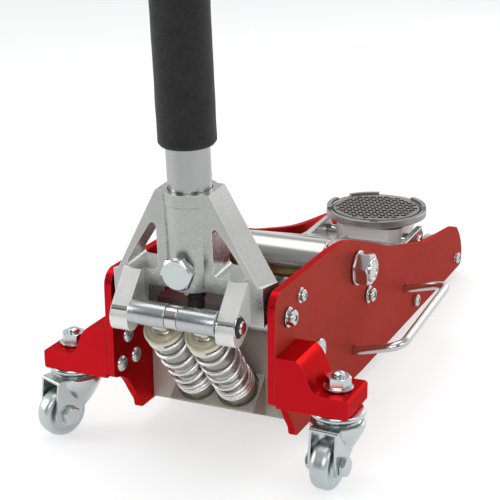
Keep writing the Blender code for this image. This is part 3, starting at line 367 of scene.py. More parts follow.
STEEL = turned_metal("polished_steel", (0.66, 0.66, 0.65), grey(0.50), 0.16, (10.0, 10.0, 10.0), 0.04)
HOOD = turned_metal("polished_sheet", (0.55, 0.55, 0.53), (0.46, 0.46, 0.44), 0.22, (0.6, 30.0, 30.0), 0.06)
TUBE = turned_metal("drawn_tube", (0.44, 0.445, 0.44), grey(0.37), 0.25, (20.0, 20.0, 0.6), 0.05)
ZINC = turned_metal(
    "zinc_plate", (0.62, 0.67, 0.67), (0.48, 0.53, 0.54), 0.21, (6.0, 6.0, 6.0), 0.03, 1.0,
    (0.60, 0.62, 0.54),
)
SATIN = turned_metal(
    "satin_zinc", (0.60, 0.65, 0.66), (0.46, 0.51, 0.52), 0.33, (3.0, 3.0, 3.0), 0.02, 0.97,
    (0.52, 0.58, 0.60),
)
SPRING_STEEL = turned_metal(
    "spring_wire", (0.86, 0.85, 0.82), (0.66, 0.65, 0.62), 0.24, (4.0, 4.0, 4.0), 0.02, 0.78,
)
SKIRT = turned_metal(
    "plunger_skirt", (0.44, 0.43, 0.41), (0.34, 0.33, 0.32), 0.36, (4.0, 4.0, 4.0), 0.02, 0.82,
)
YELLOW = turned_metal(
    "yellow_passivate", (0.70, 0.66, 0.50), (0.58, 0.53, 0.38), 0.30, (6.0, 6.0, 6.0), 0.02, 0.55,
    (0.66, 0.65, 0.56), 0.1,
)
GOLD = turned_metal("gold_hub", (0.44, 0.32, 0.13), (0.22, 0.15, 0.06), 0.36, (20.0, 2.0, 2.0))
# The saddle casting's bright edges are partly rubbed wear and partly a painted highlight.
GREY_CAST = cast_metal(
    "saddle_casting", (0.36, 0.36, 0.345), (0.26, 0.26, 0.25), 0.36, 0.90, 900.0, 0.25, (0.78, 0.78, 0.75),
    1.0,
)
OXIDE = cast_metal(
    "black_oxide", grey(0.045), grey(0.02), 0.42, 0.6, 1200.0, 0.15, grey(0.2), 0.4,
)
FOAM = foam_material("black_foam")
PAD = pad_material("pad_rubber", (0.20, 0.19, 0.172), (0.27, 0.26, 0.238))
TUBE_X = turned_metal(
    "ground_roller", (0.54, 0.565, 0.58), (0.47, 0.49, 0.50), 0.27, (1.5, 0.1, 0.1), 0.003, 1.0, None, 0.04,
)
STEEL_Y = turned_metal(
    "ground_cylinder", (0.68, 0.68, 0.67), (0.50, 0.50, 0.49), 0.20, (3.0, 30.0, 3.0), 0.04,
)
GRIP = rubber_material("grip_rubber", grey(0.018), grey(0.035))

SLOTS = {
    "cast_aluminium": (CAST, GREY_CAST),
    "polished_steel": (STEEL, STEEL_Y, TUBE, TUBE_X, HOOD, SKIRT),
    "zinc_steel": (ZINC, SATIN, SPRING_STEEL, OXIDE),
    "yellow_zinc": (YELLOW, GOLD),
    "black_foam": (FOAM,),
    "black_rubber": (GRIP, PAD),
}
SLOT_OF = {mat.name: slot for slot, mats in SLOTS.items() for mat in mats}


# ---- shapes, in millimetres

def smooth(points, steps=6):
    """Points of a Catmull-Rom curve through the given points."""
    out = []
    for i in range(len(points) - 1):
        p0, p1 = Vector(points[max(i - 1, 0)]), Vector(points[i])
        p2, p3 = Vector(points[i + 1]), Vector(points[min(i + 2, len(points) - 1)])
        for k in range(steps):
            t = k / steps
            value = 2.0 * p1 + (p2 - p0) * t
            value += (2.0 * p0 - 5.0 * p1 + 4.0 * p2 - p3) * t ** 2
            value += (3.0 * p1 - p0 - 3.0 * p2 + p3) * t ** 3
            out.append(tuple(0.5 * value))
    out.append(tuple(points[-1]))
    return out


def arc(centre, radius, start, end, steps):
    points = []
    for k in range(steps + 1):
        a = radians(start + (end - start) * k / steps)
        points.append((centre[0] + radius * cos(a), centre[1] + radius * sin(a)))
    return points


def rounded(corners, radius, steps=6):
    """A closed outline with each corner rounded by a quadratic curve. radius is one number, or one each."""
    radii = radius if isinstance(radius, (list, tuple)) else [radius] * len(corners)
    out = []
    for i, corner in enumerate(corners):
        c = Vector(corner)
        before, after = Vector(corners[i - 1]), Vector(corners[(i + 1) % len(corners)])
        r = radii[i]
        if r <= 0.0:
            out.append(tuple(c))
            continue
        a = c + (before - c).normalized() * min(r, (before - c).length * 0.49)
        b = c + (after - c).normalized() * min(r, (after - c).length * 0.49)
        for k in range(steps + 1):
            t = k / steps
            out.append(tuple(a * (1 - t) ** 2 + c * 2 * t * (1 - t) + b * t ** 2))
    return out


def spot(plane, a, b, depth):
    return {"YZ": (depth, a, b), "XZ": (a, depth, b), "XY": (a, b, depth)}[plane]


def outward_faces(bm):
    bmesh.ops.recalc_face_normals(bm, faces=bm.faces)
    return bm


def band(bm, low, high):
    """A strip of faces between two loops of the same length."""
    for k in range(len(low)):
        n = (k + 1) % len(low)
        bm.faces.new((low[k], low[n], high[n], high[k]))


def prism(outline, low, high, plane="XY"):
    bm = bmesh.new()
    face = bm.faces.new([bm.verts.new(spot(plane, a, b, low)) for a, b in outline])
    made_of = bmesh.ops.extrude_face_region(bm, geom=[face])["geom"]
    top = [g for g in made_of if isinstance(g, bmesh.types.BMVert)]
    bmesh.ops.translate(bm, verts=top, vec=spot(plane, 0.0, 0.0, high - low))
    return outward_faces(bm)


def lathe(profile, segments=64, axis="Z"):
    """A profile of (radius, height) points turned about an axis. It is closed where it leaves the axis."""
    bm = bmesh.new()
    rings = []
    for radius, height in profile:
        count = 1 if radius < 1e-6 else segments
        ring = []
        for k in range(count):
            a = 2.0 * pi * k / segments
            ring.append(bm.verts.new((radius * cos(a), radius * sin(a), height)))
        rings.append(ring)
    spans = len(rings) - (1 if len(rings[0]) == 1 else 0)
    for i in range(spans):
        low, high = rings[i], rings[(i + 1) % len(rings)]
        for k in range(segments):
            n = (k + 1) % segments
            corners = [low[k % len(low)], low[n % len(low)], high[n % len(high)], high[k % len(high)]]
            unique = list(dict.fromkeys(corners))
            if len(unique) > 2:
                bm.faces.new(unique)
    outward_faces(bm)
    if axis == "X":
        bmesh.ops.rotate(bm, verts=bm.verts, matrix=Matrix.Rotation(pi / 2.0, 3, "Y"))
    if axis == "Y":
        bmesh.ops.rotate(bm, verts=bm.verts, matrix=Matrix.Rotation(-pi / 2.0, 3, "X"))
    return bm


def rod(radius, low, high, chamfer=0.6):
    """Profile of a round bar with softened ends."""
    c = chamfer
    return [
        (0.0, low), (radius - c, low), (radius - 0.3 * c, low + 0.3 * c), (radius, low + c),
        (radius, high - c), (radius - 0.3 * c, high - 0.3 * c), (radius - c, high), (0.0, high),
    ]


def ring(inner, outer, low, high, c=0.4):
    return [
        (inner, low + c), (inner + c, low), (outer - c, low), (outer, low + c),
        (outer, high - c), (outer - c, high), (inner + c, high), (inner, high - c),
    ]


def sweep(path, radius, sides=16, capped=True):
    """A round bar along a path. radius is one number, or one for each point."""
    points = [Vector(p) for p in path]
    radii = radius if isinstance(radius, list) else [radius] * len(points)
    bm = bmesh.new()
    normal = None
    rings = []
    for i, point in enumerate(points):
        tangent = (points[min(i + 1, len(points) - 1)] - points[max(i - 1, 0)]).normalized()
        if normal is None:
            guide = Vector((0.0, 0.0, 1.0)) if abs(tangent.z) < 0.9 else Vector((0.0, 1.0, 0.0))
            normal = guide.cross(tangent).normalized()
        normal = (normal - tangent * normal.dot(tangent)).normalized()
        other = tangent.cross(normal)
        loop = []
        for k in range(sides):
            a = 2.0 * pi * k / sides
            loop.append(bm.verts.new(point + (normal * cos(a) + other * sin(a)) * radii[i]))
        rings.append(loop)
    for low, high in zip(rings, rings[1:]):
        band(bm, low, high)
    if capped:
        bm.faces.new(rings[0])
        bm.faces.new(rings[-1])
    return outward_faces(bm)


def block(low, high):
    return prism(
        [(low[0], low[1]), (high[0], low[1]), (high[0], high[1]), (low[0], high[1])], low[2], high[2],
    )


def bore(radius, low, high, segments, axis="Z"):
    """A step of carved() that drills a round hole."""
    return "-", lathe(rod(radius, low, high, 0.1), segments, axis)


def hexagon(across, turn=0.0):
    return arc((0.0, 0.0), across / sqrt(3.0), turn, turn + 300.0, 5)


def moved(bm, matrix):
    bmesh.ops.transform(bm, matrix=matrix, verts=bm.verts)
    if matrix.determinant() < 0.0:
        bmesh.ops.reverse_faces(bm, faces=bm.faces)
    return bm


def shift(bm, x=0.0, y=0.0, z=0.0):
    return moved(bm, to(x, y, z))


def flipped(bm, side):
    """The shape, or its mirror image in X for the left side."""
    return bm if side > 0 else moved(bm, Matrix.Scale(-1.0, 4, (1.0, 0.0, 0.0)))


def joined(*meshes):
    """Several shapes in one mesh."""
    out = bmesh.new()
    for bm in meshes:
        mesh = bpy.data.meshes.new("part")
        bm.to_mesh(mesh)
        bm.free()
        out.from_mesh(mesh)
        bpy.data.meshes.remove(mesh)
    return out


def made(name, bm):
    """An object in the scene that holds the shape."""
    mesh = bpy.data.meshes.new(name)
    bm.to_mesh(mesh)
    bm.free()
    obj = bpy.data.objects.new(name, mesh)
    bpy.context.scene.collection.objects.link(obj)
    return obj


def carved(base, *steps):
    """base after Boolean steps, each ("-", "+" or "&", shape)."""
    obj = made("base", base)
    tools = []
    words = {"-": "DIFFERENCE", "+": "UNION", "&": "INTERSECT"}
    for sign, bm in steps:
        tool = made("tool", bm)
        modifier = obj.modifiers.new("cut", "BOOLEAN")
        modifier.operation = words[sign]
        modifier.solver = "EXACT"
        modifier.object = tool
        tools.append(tool)
    bpy.context.view_layer.update()
    mesh = bpy.data.meshes.new_from_object(obj.evaluated_get(bpy.context.evaluated_depsgraph_get()))
    out = bmesh.new()
    out.from_mesh(mesh)
    for item in [obj, *tools]:
        data = item.data
        bpy.data.objects.remove(item)
        bpy.data.meshes.remove(data)
    bpy.data.meshes.remove(mesh)
    bmesh.ops.remove_doubles(out, verts=out.verts, dist=1e-4)
    bmesh.ops.dissolve_limit(out, angle_limit=radians(0.4), verts=out.verts, edges=out.edges)
    return out


def put(
    name, bm, mat, place=JACK, node=None, bevel=0.0, segments=2, sharp=32.0, angle=30.0, body=None, slot=None,
):
    """Makes a visible piece of a shape. It rides on the body of the node it stands for."""
    obj = made(name, moved(bm, place))
    mesh = obj.data
    mesh.materials.append(mat)
    mesh.shade_smooth()
    if bevel > 0.0:
        modifier = obj.modifiers.new("edge", "BEVEL")
        modifier.width = bevel * MM
        modifier.segments = segments
        modifier.limit_method = "ANGLE"
        modifier.angle_limit = radians(angle)
        modifier.miter_outer = "MITER_ARC"
        flat = obj.modifiers.new("flat", "WEIGHTED_NORMAL")
        flat.keep_sharp = True
        flat.weight = 100
    mesh.set_sharp_from_angle(angle=radians(sharp))
    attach(obj, body or NODES[node]["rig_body"])
    if node:
        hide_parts(node)
    if slot is None:
        slot = SLOT_OF[mat.name]
    return obj


def refined(node, mat, bevel=0.6, segments=2, angle=30.0):
    """A CAD node's own shape with its facets merged and its edges softened."""
    bm = bmesh.new()
    bm.from_mesh(NODES[node].data)
    bmesh.ops.remove_doubles(bm, verts=bm.verts, dist=2e-6)
    bmesh.ops.dissolve_limit(bm, angle_limit=radians(0.6), verts=bm.verts, edges=bm.edges)
    place = Matrix.Identity(4)
    put(node + "_body", bm, mat, place, node, bevel, segments, angle=angle, slot="")


# ---- fasteners

def dome(radius, low, height, steps=7, flat=0.0):
    """Profile of a domed head that sits at a height."""
    points = [(0.0, low), (radius, low), (radius, low + flat)]
    for k in range(1, steps + 1):
        a = pi / 2.0 * k / steps
        points.append((radius * cos(a) if k < steps else 0.0, low + flat + (height - flat) * sin(a)))
    return points


def phillips(radius, height, washer=0.0, stem=0.0, stem_radius=0.0, round_top=False):
    """A screw head along +Z from z = 0, with a cross recess and sometimes a washer under it."""
    top = washer + height
    if round_top:
        profile = dome(radius, washer, top, 9, 0.4)
    else:
        profile = [(0.0, washer), (radius * 0.86, washer), (radius * 0.9, washer + 0.25)]
        profile += [(radius, washer + 0.6), (radius, top - 1.9)]
        for k in range(1, 7):
            a = pi / 2.0 * k / 6
            profile.append((radius - 2.0 + 2.0 * cos(a), top - 1.9 + 1.5 * sin(a)))
        profile.append((0.0, top))
    depth = washer + height * (0.45 if round_top else 0.55)
    long, wide = radius * 0.56, radius * 0.13
    head = carved(
        lathe(profile, 48),
        ("-", moved(block((-long, -wide, depth), (long, wide, 30.0)), rot(20.0, "Z"))),
        ("-", moved(block((-wide, -long, depth), (wide, long, 30.0)), rot(20.0, "Z"))),
    )
    shapes = [head]
    if washer > 0.0:
        hole = stem_radius or radius * 0.4
        shapes.append(lathe(ring(hole, radius * 1.3, 0.05, washer - 0.35, 0.3), 48))
        shapes.append(lathe(ring(hole, radius * 0.93, washer - 0.5, washer + 0.1, 0.1), 40))
    if stem > 0.0:
        shapes.append(lathe(rod(stem_radius, -stem, washer + 0.4, 0.5), 28))
    return joined(*shapes)


def hex_head(across, low, high, turn=0.0, chamfer=0.9, both=False):
    """A hexagon with turned corners, along +Z."""
    corner = across / sqrt(3.0)
    inset, rise = (chamfer, chamfer * 0.9) if both else (-0.6, 0.0)
    blank = lathe([
        (0.0, low), (corner - inset, low), (corner + 0.6, low + rise),
        (corner + 0.6, high - chamfer * 0.9), (corner - chamfer, high), (0.0, high),
    ], 48)
    return carved(prism(hexagon(across, turn), low, high), ("&", blank))


def threads(radius, low, high, pitch=1.25):
    """Profile of a threaded end with a domed tip."""
    points = [(0.0, low)]
    z = low
    while z + pitch < high - 1.0:
        points += [(radius - 0.55, z), (radius, z + pitch * 0.45), (radius, z + pitch * 0.55)]
        z += pitch
    return points + [(radius - 0.55, z), (radius - 1.0, high - 0.5), (radius * 0.5, high), (0.0, high + 0.1)]


# ---- frame plates and brackets

def build_frame():
    for side, word in SIDES:
        refined(f"side_plate_{word}", RED, 0.7)
        refined(f"caster_bracket_{word}", RED, 0.9, 3)

    # Domed screws that hold the caster brackets, inside the plates.
    for side, word in SIDES:
        for k, (y, z) in enumerate(((21.8, 85.5), (33.1, 64.7), (11.0, 65.8))):
            head = phillips(6.3, 3.9, round_top=True)
            place = JACK @ to(side * PLATE_INSIDE, y, z) @ rot(-90.0 * side, "Y")
            put(f"bracket_screw_{word}_{k}", head, ZINC, place, body="frame")

    # Yoke pivot screws, tie rod bolts, guide screws and block bolts.
    for side, word in SIDES:
        outward = rot(90.0 * side, "Y")
        face = side * PLATE_OUTSIDE
        screw = joined(
            phillips(5.9, 5.0, 1.5, 20.0, 5.0),
            lathe(rod(5.0, -28.8, -8.0, 1.2), 36),
        )
        put(
            f"yoke_screw_{word}", screw, ZINC, JACK @ to(face + side * 0.3, 23.5, 118.5) @ outward,
            f"yoke_pivot_screw_{word}",
        )
        screw = phillips(5.9, 4.6, 1.8, 15.5, 5.0)
        put(
            f"tie_rod_screw_{word}", screw, ZINC, JACK @ to(face + side * 0.3, 201.2, 76.2) @ outward,
            f"tie_rod_bolt_{word}",
        )
        screw = phillips(4.5, 3.6, 0.7)
        put(f"guide_screw_{word}", screw, ZINC, JACK @ to(face, 48.4, 126.9) @ outward, body="frame")
        bolt = lathe(dome(10.4, 0.05, 4.2, 12, 0.8), 64)
        put(f"block_bolt_{word}", bolt, ZINC, JACK @ to(face, 87.0, 68.0) @ outward, body="frame")
    bar = [lathe(rod(6.0, -62.3, 62.3, 0.6), 40, "X"), *end_heads(5.6, 4.2, 0.0, 5.0, 4.0)]
    put("spacer_bar", joined(*bar), ZINC, JACK @ to(0.0, 340.1, 23.4), "frame_crossbar")
    axle = [lathe(rod(5.0, -69.2, 69.2, 0.5), 40, "X"), *end_heads(5.5, 4.0)]
    put("front_wheel_axle", joined(*axle), ZINC, JACK @ to(0.0, 483.0, 21.5), "front_axle")


def end_heads(*sizes):
    """Screw heads on both ends of a bar that spans the plates."""
    reach = PLATE_OUTSIDE + 0.3
    return [moved(phillips(*sizes), to(side * reach, 0.0, 0.0) @ rot(side * 90.0, "Y")) for side, _ in SIDES]


def build_carry_handle():
    """U-shaped polished rod, both feet in the right plate."""
    feet = ((168.3, 38.0), (306.7, 46.5))
    corners = [Vector((62.0, *feet[0])), Vector((70.6, *feet[0]))]
    corners += [Vector((109.4, y, z + 9.4)) for y, z in feet]
    corners += [Vector((70.6, *feet[1])), Vector((62.0, *feet[1]))]
    rounding = [0.0, 3.0, 14.0, 14.0, 3.0, 0.0]
    path = [corners[0]]
    for i in range(1, 5):
        a = corners[i] + (corners[i - 1] - corners[i]).normalized() * rounding[i]
        b = corners[i] + (corners[i + 1] - corners[i]).normalized() * rounding[i]
        for k in range(13):
            t = k / 12
            path.append(a * (1 - t) ** 2 + corners[i] * 2 * t * (1 - t) + b * t ** 2)
    path.append(corners[-1])
    put("carry_rod", sweep(path, 3.8, 28), STEEL, JACK, "carry_handle")


def build_lift_pivot():
    place = JACK @ to(0.0, 171.6, 109.1)
    shaft = [
        (0.0, -80.6), (9.6, -80.6), (11.4, -79.8), (12.4, -78.4), (12.4, -71.6), (14.2, -71.3), (14.5, -70.9),
        (14.5, -69.3), (14.2, -68.9), (10.0, -68.9), (10.0, 82.2), (9.8, 83.2), (9.2, 83.8), (8.2, 83.9),
        (7.6, 83.5), (7.3, 82.9), (6.7, 82.9), (6.4, 83.3), (0.0, 83.5),
    ]
    put("lift_pivot_shaft", lathe(shaft, 64, "X"), STEEL, place, "lift_pivot_bolt")
    nut = hex_head(24.6, 71.3, 81.6, 18.0, 1.6, True)
    nut = carved(nut, bore(10.25, 60.0, 95.0, 48))
    washer = lathe(ring(10.25, 14.5, 68.95, 71.2, 0.5), 56)
    put(
        "lift_pivot_hex", joined(nut, washer), STEEL, place @ rot(90.0, "Y"), "lift_pivot_nut", 0.35,
        slot="zinc_steel",
    )


# ---- pump

def build_pump():
    refined("pump_block", PUMP_CAST, 1.0, 3, angle=38.0)
    length = 81.6
    for side, word in SIDES:
        bore_sleeve = [(7.35, -2.0), (11.9, -2.0), (11.9, 37.4), (11.4, 38.0), (7.7, 38.0), (7.35, 37.6)]
        put(f"pump_sleeve_{word}", lathe(bore_sleeve, 56), STEEL, PUMP[side], body="frame")
        plunger = [
            (0.0, 8.0), (6.3, 8.0), (7.0, 8.8), (7.0, length + 0.3), (6.7, length + 0.5), (6.7, length + 1.6),
            (7.0, length + 1.8), (7.0, length + 8.6), (6.2, length + 9.8), (4.8, length + 10.4),
            (0.0, length + 10.4),
        ]
        put(f"plunger_{word}", lathe(plunger, 56), STEEL, PUMP[side], f"piston_{word}")
        cap = [
            (7.3, length - 3.0), (15.2, length - 3.0), (15.6, length - 2.6), (15.6, length - 1.2),
            (15.1, length - 0.4),
            (14.2, length - 0.05), (13.4, length - 0.1), (13.0, length - 0.7), (12.0, length - 0.8),
            (11.6, length - 0.15), (9.9, length - 0.15), (9.5, length - 1.1), (8.5, length - 1.2),
            (8.1, length - 0.2), (7.3, length - 0.3),
        ]
        skirt = [
            (12.1, length - 45.0), (12.6, length - 45.0), (12.85, length - 44.7), (12.85, length - 3.3),
            (7.3, length - 3.3), (7.3, length - 4.4), (12.1, length - 4.4),
        ]
        put(f"plunger_cap_{word}", lathe(cap, 64), YELLOW, PUMP[side], f"piston_cap_{word}")
        put(f"plunger_skirt_{word}", lathe(skirt, 64), SKIRT, PUMP[side], body=f"pump_{word}")
        spring = put(
            f"return_spring_{word}", spring_shape(2.6, length - 3.2), SPRING_STEEL, PUMP[side],
            f"pump_spring_{word}", sharp=80.0,
        )
        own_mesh(spring)


def spring_shape(low, high):
    """Open spring with flattened closed ends, like the CAD one but round."""
    wire = 1.35
    middle = 15.7 - wire
    knots = [
        (0.0, low + wire), (0.9, low + wire + 0.3), (1.8, low + 4.6), (2.7, low + 8.6), (3.5, low + 15.0),
        (4.5, low + 27.6), (5.5, low + 40.2), (6.5, low + 52.8), (7.3, high - 6.3 - wire),
        (7.9, high - 3.0 - wire),
        (8.8, high - wire),
    ]
    turns = smooth(knots, 8)
    path = []
    steps = int(turns[-1][0] * 44)
    for k in range(steps + 1):
        turn = turns[-1][0] * k / steps
        for (a, za), (b, zb) in zip(turns, turns[1:]):
            if a <= turn <= b:
                t = (turn - a) / (b - a)
                z = za + (zb - za) * t
                break
        angle = 2.0 * pi * turn
        path.append((middle * cos(angle), middle * sin(angle), z))
    return sweep(path, wire, 14)


def build_release():
    """The release valve's stem and the cross pins of its joint."""
    stem = [
        (0.0, -18.0), (6.0, -18.0), (6.0, 1.0), (7.9, 1.0), (8.5, 1.6), (8.5, 6.4), (7.9, 7.0), (5.0, 7.0),
        (5.0, 15.2), (4.4, 15.9), (0.0, 15.9),
    ]
    put("release_stem", lathe(stem, 48), ZINC, VALVE, "release_valve", slot="polished_steel")
    cross = carved(
        lathe(rod(1.6, -6.3, 6.3, 0.4), 24, "X"),
        ("+", lathe(rod(1.6, -6.3, 6.3, 0.4), 24, "Y")),
    )
    put("release_cross_pins", shift(cross, 0.0, 0.0, 12.0), STEEL, VALVE, body="release_valve")


# ---- yoke

def both(points):
    return points + [(-x, z) for x, z in reversed(points)]


def build_yoke():
    panel = both([(21.0, 94.4), (59.4, 23.0), (59.4, 4.0), (33.0, 4.0), (31.0, 21.0)])
    steps = []
    for side, word in SIDES:
        leg = arc((0.0, 0.0), 13.0, 180.0, 360.0, 24) + [
            (13.0, 8.0), (5.0, 24.0), (-22.0, 30.0), (-22.0, 0.0),
        ]
        low, high = sorted((side * 43.0, side * 59.35))
        steps.append(("+", prism(leg, low, high, "YZ")))
        ear = rounded([
            (-16.0, 34.0), (-24.0, 34.0), (-45.0, 14.0), (-51.0, 6.0), (-50.0, -4.0), (-43.0, -8.6),
            (-35.0, -6.0), (-16.0, 6.0),
        ], [0, 2.0, 4.0, 4.0, 4.5, 4.5, 3.0, 0], 6)
        low, high = sorted((side * 34.6, side * 49.0))
        steps.append(("+", prism(ear, low, high, "YZ")))
    axis = to(0.0, -8.3, 0.0)
    boss = [(0.0, 21.0), (20.0, 21.0), (20.0, 84.6), (20.35, 85.1), (20.35, 94.35), (0.0, 94.35)]
    steps.append(("+", moved(lathe(boss, 96), axis)))
    for side in (1, -1):
        window = rounded(
            [(22.0, 33.0), (45.6, 33.0), (47.6, 37.0), (26.0, 70.2), (22.0, 68.5)], [4.5, 5.0, 5.0, 3.6, 3.2],
            8,
        )
        window = window if side > 0 else [(-x, z) for x, z in reversed(window)]
        steps.append(("-", prism(window, -27.0, 10.0, "XZ")))
    steps.append(("-", moved(lathe(rod(16.4, 12.0, 110.0, 0.1), 96), axis)))
    steps.append(bore(5.3, -80.0, 80.0, 40, "X"))
    pin = YOKE.inverted() @ ROLLERS @ Vector()
    steps.append(("-", moved(lathe(rod(5.2, -80.0, 80.0, 0.1), 40, "X"), Matrix.Translation(pin))))
    steps.append(("-", moved(lathe(rod(5.3, -50.0, 0.0, 0.1), 32, "Y"), to(0.0, -8.3, 38.0))))
    yoke = carved(prism(panel, -22.0, 5.0, "XZ"), *steps)
    casting = put("yoke_casting", yoke, CAST, YOKE, "handle_yoke", 0.55, angle=32.0)
    casting.data.materials.append(EAR)
    inward = YOKE.inverted()
    for face in casting.data.polygons:
        middle = inward @ face.center
        if middle.y < -21.0 and 34.0 < abs(middle.x) < 49.6 and middle.z < 34.2:
            face.material_index = 1


def build_foot_joint():
    """The upper half of the joint that turns the release valve, under the handle's foot."""
    stub = lathe([
        (0.0, 3.5), (4.2, 3.5), (4.8, 4.2), (4.8, 9.6), (7.2, 10.4), (7.6, 11.0), (7.6, 19.2), (12.0, 19.8),
        (12.6, 20.4),
        (12.6, 24.0), (0.0, 24.0),
    ], 56)
    fork = carved(
        stub,
        ("+", lathe(rod(6.4, -6.0, 10.0, 2.2), 44)),
        ("-", block((-2.9, -9.0, -8.0), (2.9, 9.0, 1.0))),
        bore(1.7, -9.0, 9.0, 24, "X"),
    )
    put("foot_joint_fork", fork, OXIDE, HANDLE, bevel=0.3, body="handle")
    pins = lathe(rod(1.6, -6.8, 6.8, 0.4), 24, "X")
    put("foot_joint_pin", pins, ZINC, HANDLE, body="handle")
    screw = phillips(2.9, 2.4, round_top=True)
    put(
        "foot_joint_screw", screw, ZINC,
        HANDLE @ to(0.0, 0.0, 15.0) @ rot(-35.0, "Z") @ to(0.0, -7.5, 0.0) @ rot(90.0, "X"), body="handle",
    )


def build_rollers():
    pin = [
        (0.0, -50.0), (3.4, -50.0), (5.0, -48.6), (5.0, -4.5), (8.4, -4.5), (8.7, -4.2), (8.7, 4.2),
        (8.4, 4.5),
        (5.0, 4.5), (5.0, 50.4), (4.4, 50.6), (4.4, 51.5), (5.0, 51.7), (5.0, 52.9), (4.4, 53.5), (0.0, 53.5),
    ]
    put("roller_shaft", lathe(pin, 48, "X"), STEEL, ROLLERS, "roller_pin")
    clip = carved(
        lathe(ring(4.45, 6.9, 50.5, 51.5, 0.15), 40, "X"),
        ("-", block((49.0, -1.2, -9.0), (53.0, 1.2, -3.0))),
    )
    put("roller_shaft_clip", clip, OXIDE, ROLLERS, body="yoke")
    washer = lathe(ring(5.4, 8.2, 49.15, 50.3, 0.2), 48, "X")
    put("roller_shaft_washer", washer, ZINC, ROLLERS, body="yoke")
    for side, word in SIDES:
        profile = [
            (5.3, 5.4), (8.3, 4.9), (8.9, 5.3), (9.0, 6.0), (9.0, 33.1), (8.7, 33.9), (8.2, 34.1),
            (5.3, 34.1),
        ]
        put(
            f"roller_sleeve_{word}", flipped(lathe(profile, 72, "X"), side), TUBE_X, ROLLERS,
            f"pump_roller_{word}",
        )


def build_clamp():
    place = YOKE @ to(0.0, -8.3, 38.0) @ rot(90.0, "X")
    head = hex_head(22.6, 24.5, 30.1, 8.0, 2.4)
    head = joined(head, lathe(rod(8.6, 29.6, 30.2, 0.3), 48), lathe(threads(5.0, 14.7, 25.0), 32))
    put("clamp_screw", head, ZINC, place, "clamp_bolt", 0.25)
    nut = hex_head(19.0, 20.7, 24.0, 20.0, 1.0, True)
    nut = carved(nut, bore(5.35, 10.0, 40.0, 36))
    put("clamp_nut", nut, ZINC, place, "clamp_locknut", 0.2)


# ---- handle

def build_handle():
    groove = 38.0
    lower = [
        (12.9, 22.4), (13.3, 22.0), (15.4, 22.0), (15.9, 22.6), (15.9, groove - 6.0), (13.9, groove - 5.6),
        (13.9, groove + 5.6), (15.9, groove + 6.0), (15.9, 539.3), (15.2, 540.0), (13.4, 540.0),
        (12.9, 539.5),
    ]
    hole = lathe(rod(4.2, -30.0, 0.0, 0.1), 32, "Y")
    tube = carved(lathe(lower, 96), ("-", shift(hole, 0.0, 0.0, 531.0)))
    put("handle_lower_tube", tube, TUBE, HANDLE, "handle_tube_lower")
    hole = lathe(rod(4.2, -30.0, 0.0, 0.1), 32, "Y")
    tube = carved(lathe(ring(10.7, 12.5, 450.0, 1004.0, 0.3), 80), ("-", shift(hole, 0.0, 0.0, 531.0)))
    put("handle_upper_tube", tube, TUBE, HANDLE, "handle_tube_upper")
    button = [(0.0, 7.0), (3.8, 7.0), (3.8, 17.0), (3.4, 17.8), (2.4, 18.3), (0.0, 18.5)]
    place = HANDLE @ to(0.0, 0.0, 531.0) @ rot(90.0, "X")
    put("release_button", lathe(button, 40), ZINC, place, "snap_button")

    # Foam sleeve: soft rounded ends and the slight unevenness of a pushed-on sleeve.
    rows, around = 190, 96
    start, end = 126.5, 520.0
    bm = bmesh.new()
    loops = []
    for k in range(rows + 1):
        z = start + (end - start) * k / rows
        from_end = min(z - start, end - z)
        radius = 20.85 - 1.6 * max(0.0, 1.0 - from_end / 2.6) ** 2.2
        radius += 0.10 * sin(z * 0.21) * sin(z * 0.043 + 1.3) - 0.10
        loops.append([])
        for j in range(around):
            a = 2.0 * pi * j / around
            r = radius + 0.08 * sin(2.0 * a + z * 0.05) + 0.05 * sin(5.0 * a - z * 0.11)
            loops[-1].append(bm.verts.new((r * cos(a), r * sin(a), z)))
    inner = []
    for z in (end, start):
        inner.append([])
        for j in range(around):
            a = 2.0 * pi * j / around
            inner[-1].append(bm.verts.new((16.3 * cos(a), 16.3 * sin(a), z)))
    loops += inner
    for i in range(len(loops)):
        band(bm, loops[i], loops[(i + 1) % len(loops)])
    outward_faces(bm)
    sleeve = put("foam_grip_sleeve", bm, FOAM, HANDLE, "foam_sleeve", sharp=50.0)

    # End grip on the upper tube: ribbed rubber with a flange and a closed end.
    profile = [(0.0, 1010.0), (9.0, 1010.0), (12.2, 1009.0), (14.6, 1006.6), (15.9, 1003.0)]
    z = 999.0
    while z > 892.0:
        profile += [(16.1, z), (16.1, z - 2.6), (15.2, z - 3.4), (15.2, z - 4.6)]
        z -= 5.4
    profile += [
        (16.1, 888.5), (17.5, 885.0), (17.6, 881.0), (16.8, 880.0), (12.8, 880.0), (12.8, 1004.9),
        (0.0, 1005.0),
    ]
    put("handle_end_grip", lathe(profile, 72), GRIP, HANDLE, "handle_grip", sharp=50.0)


# ---- lift arm, ram and saddle

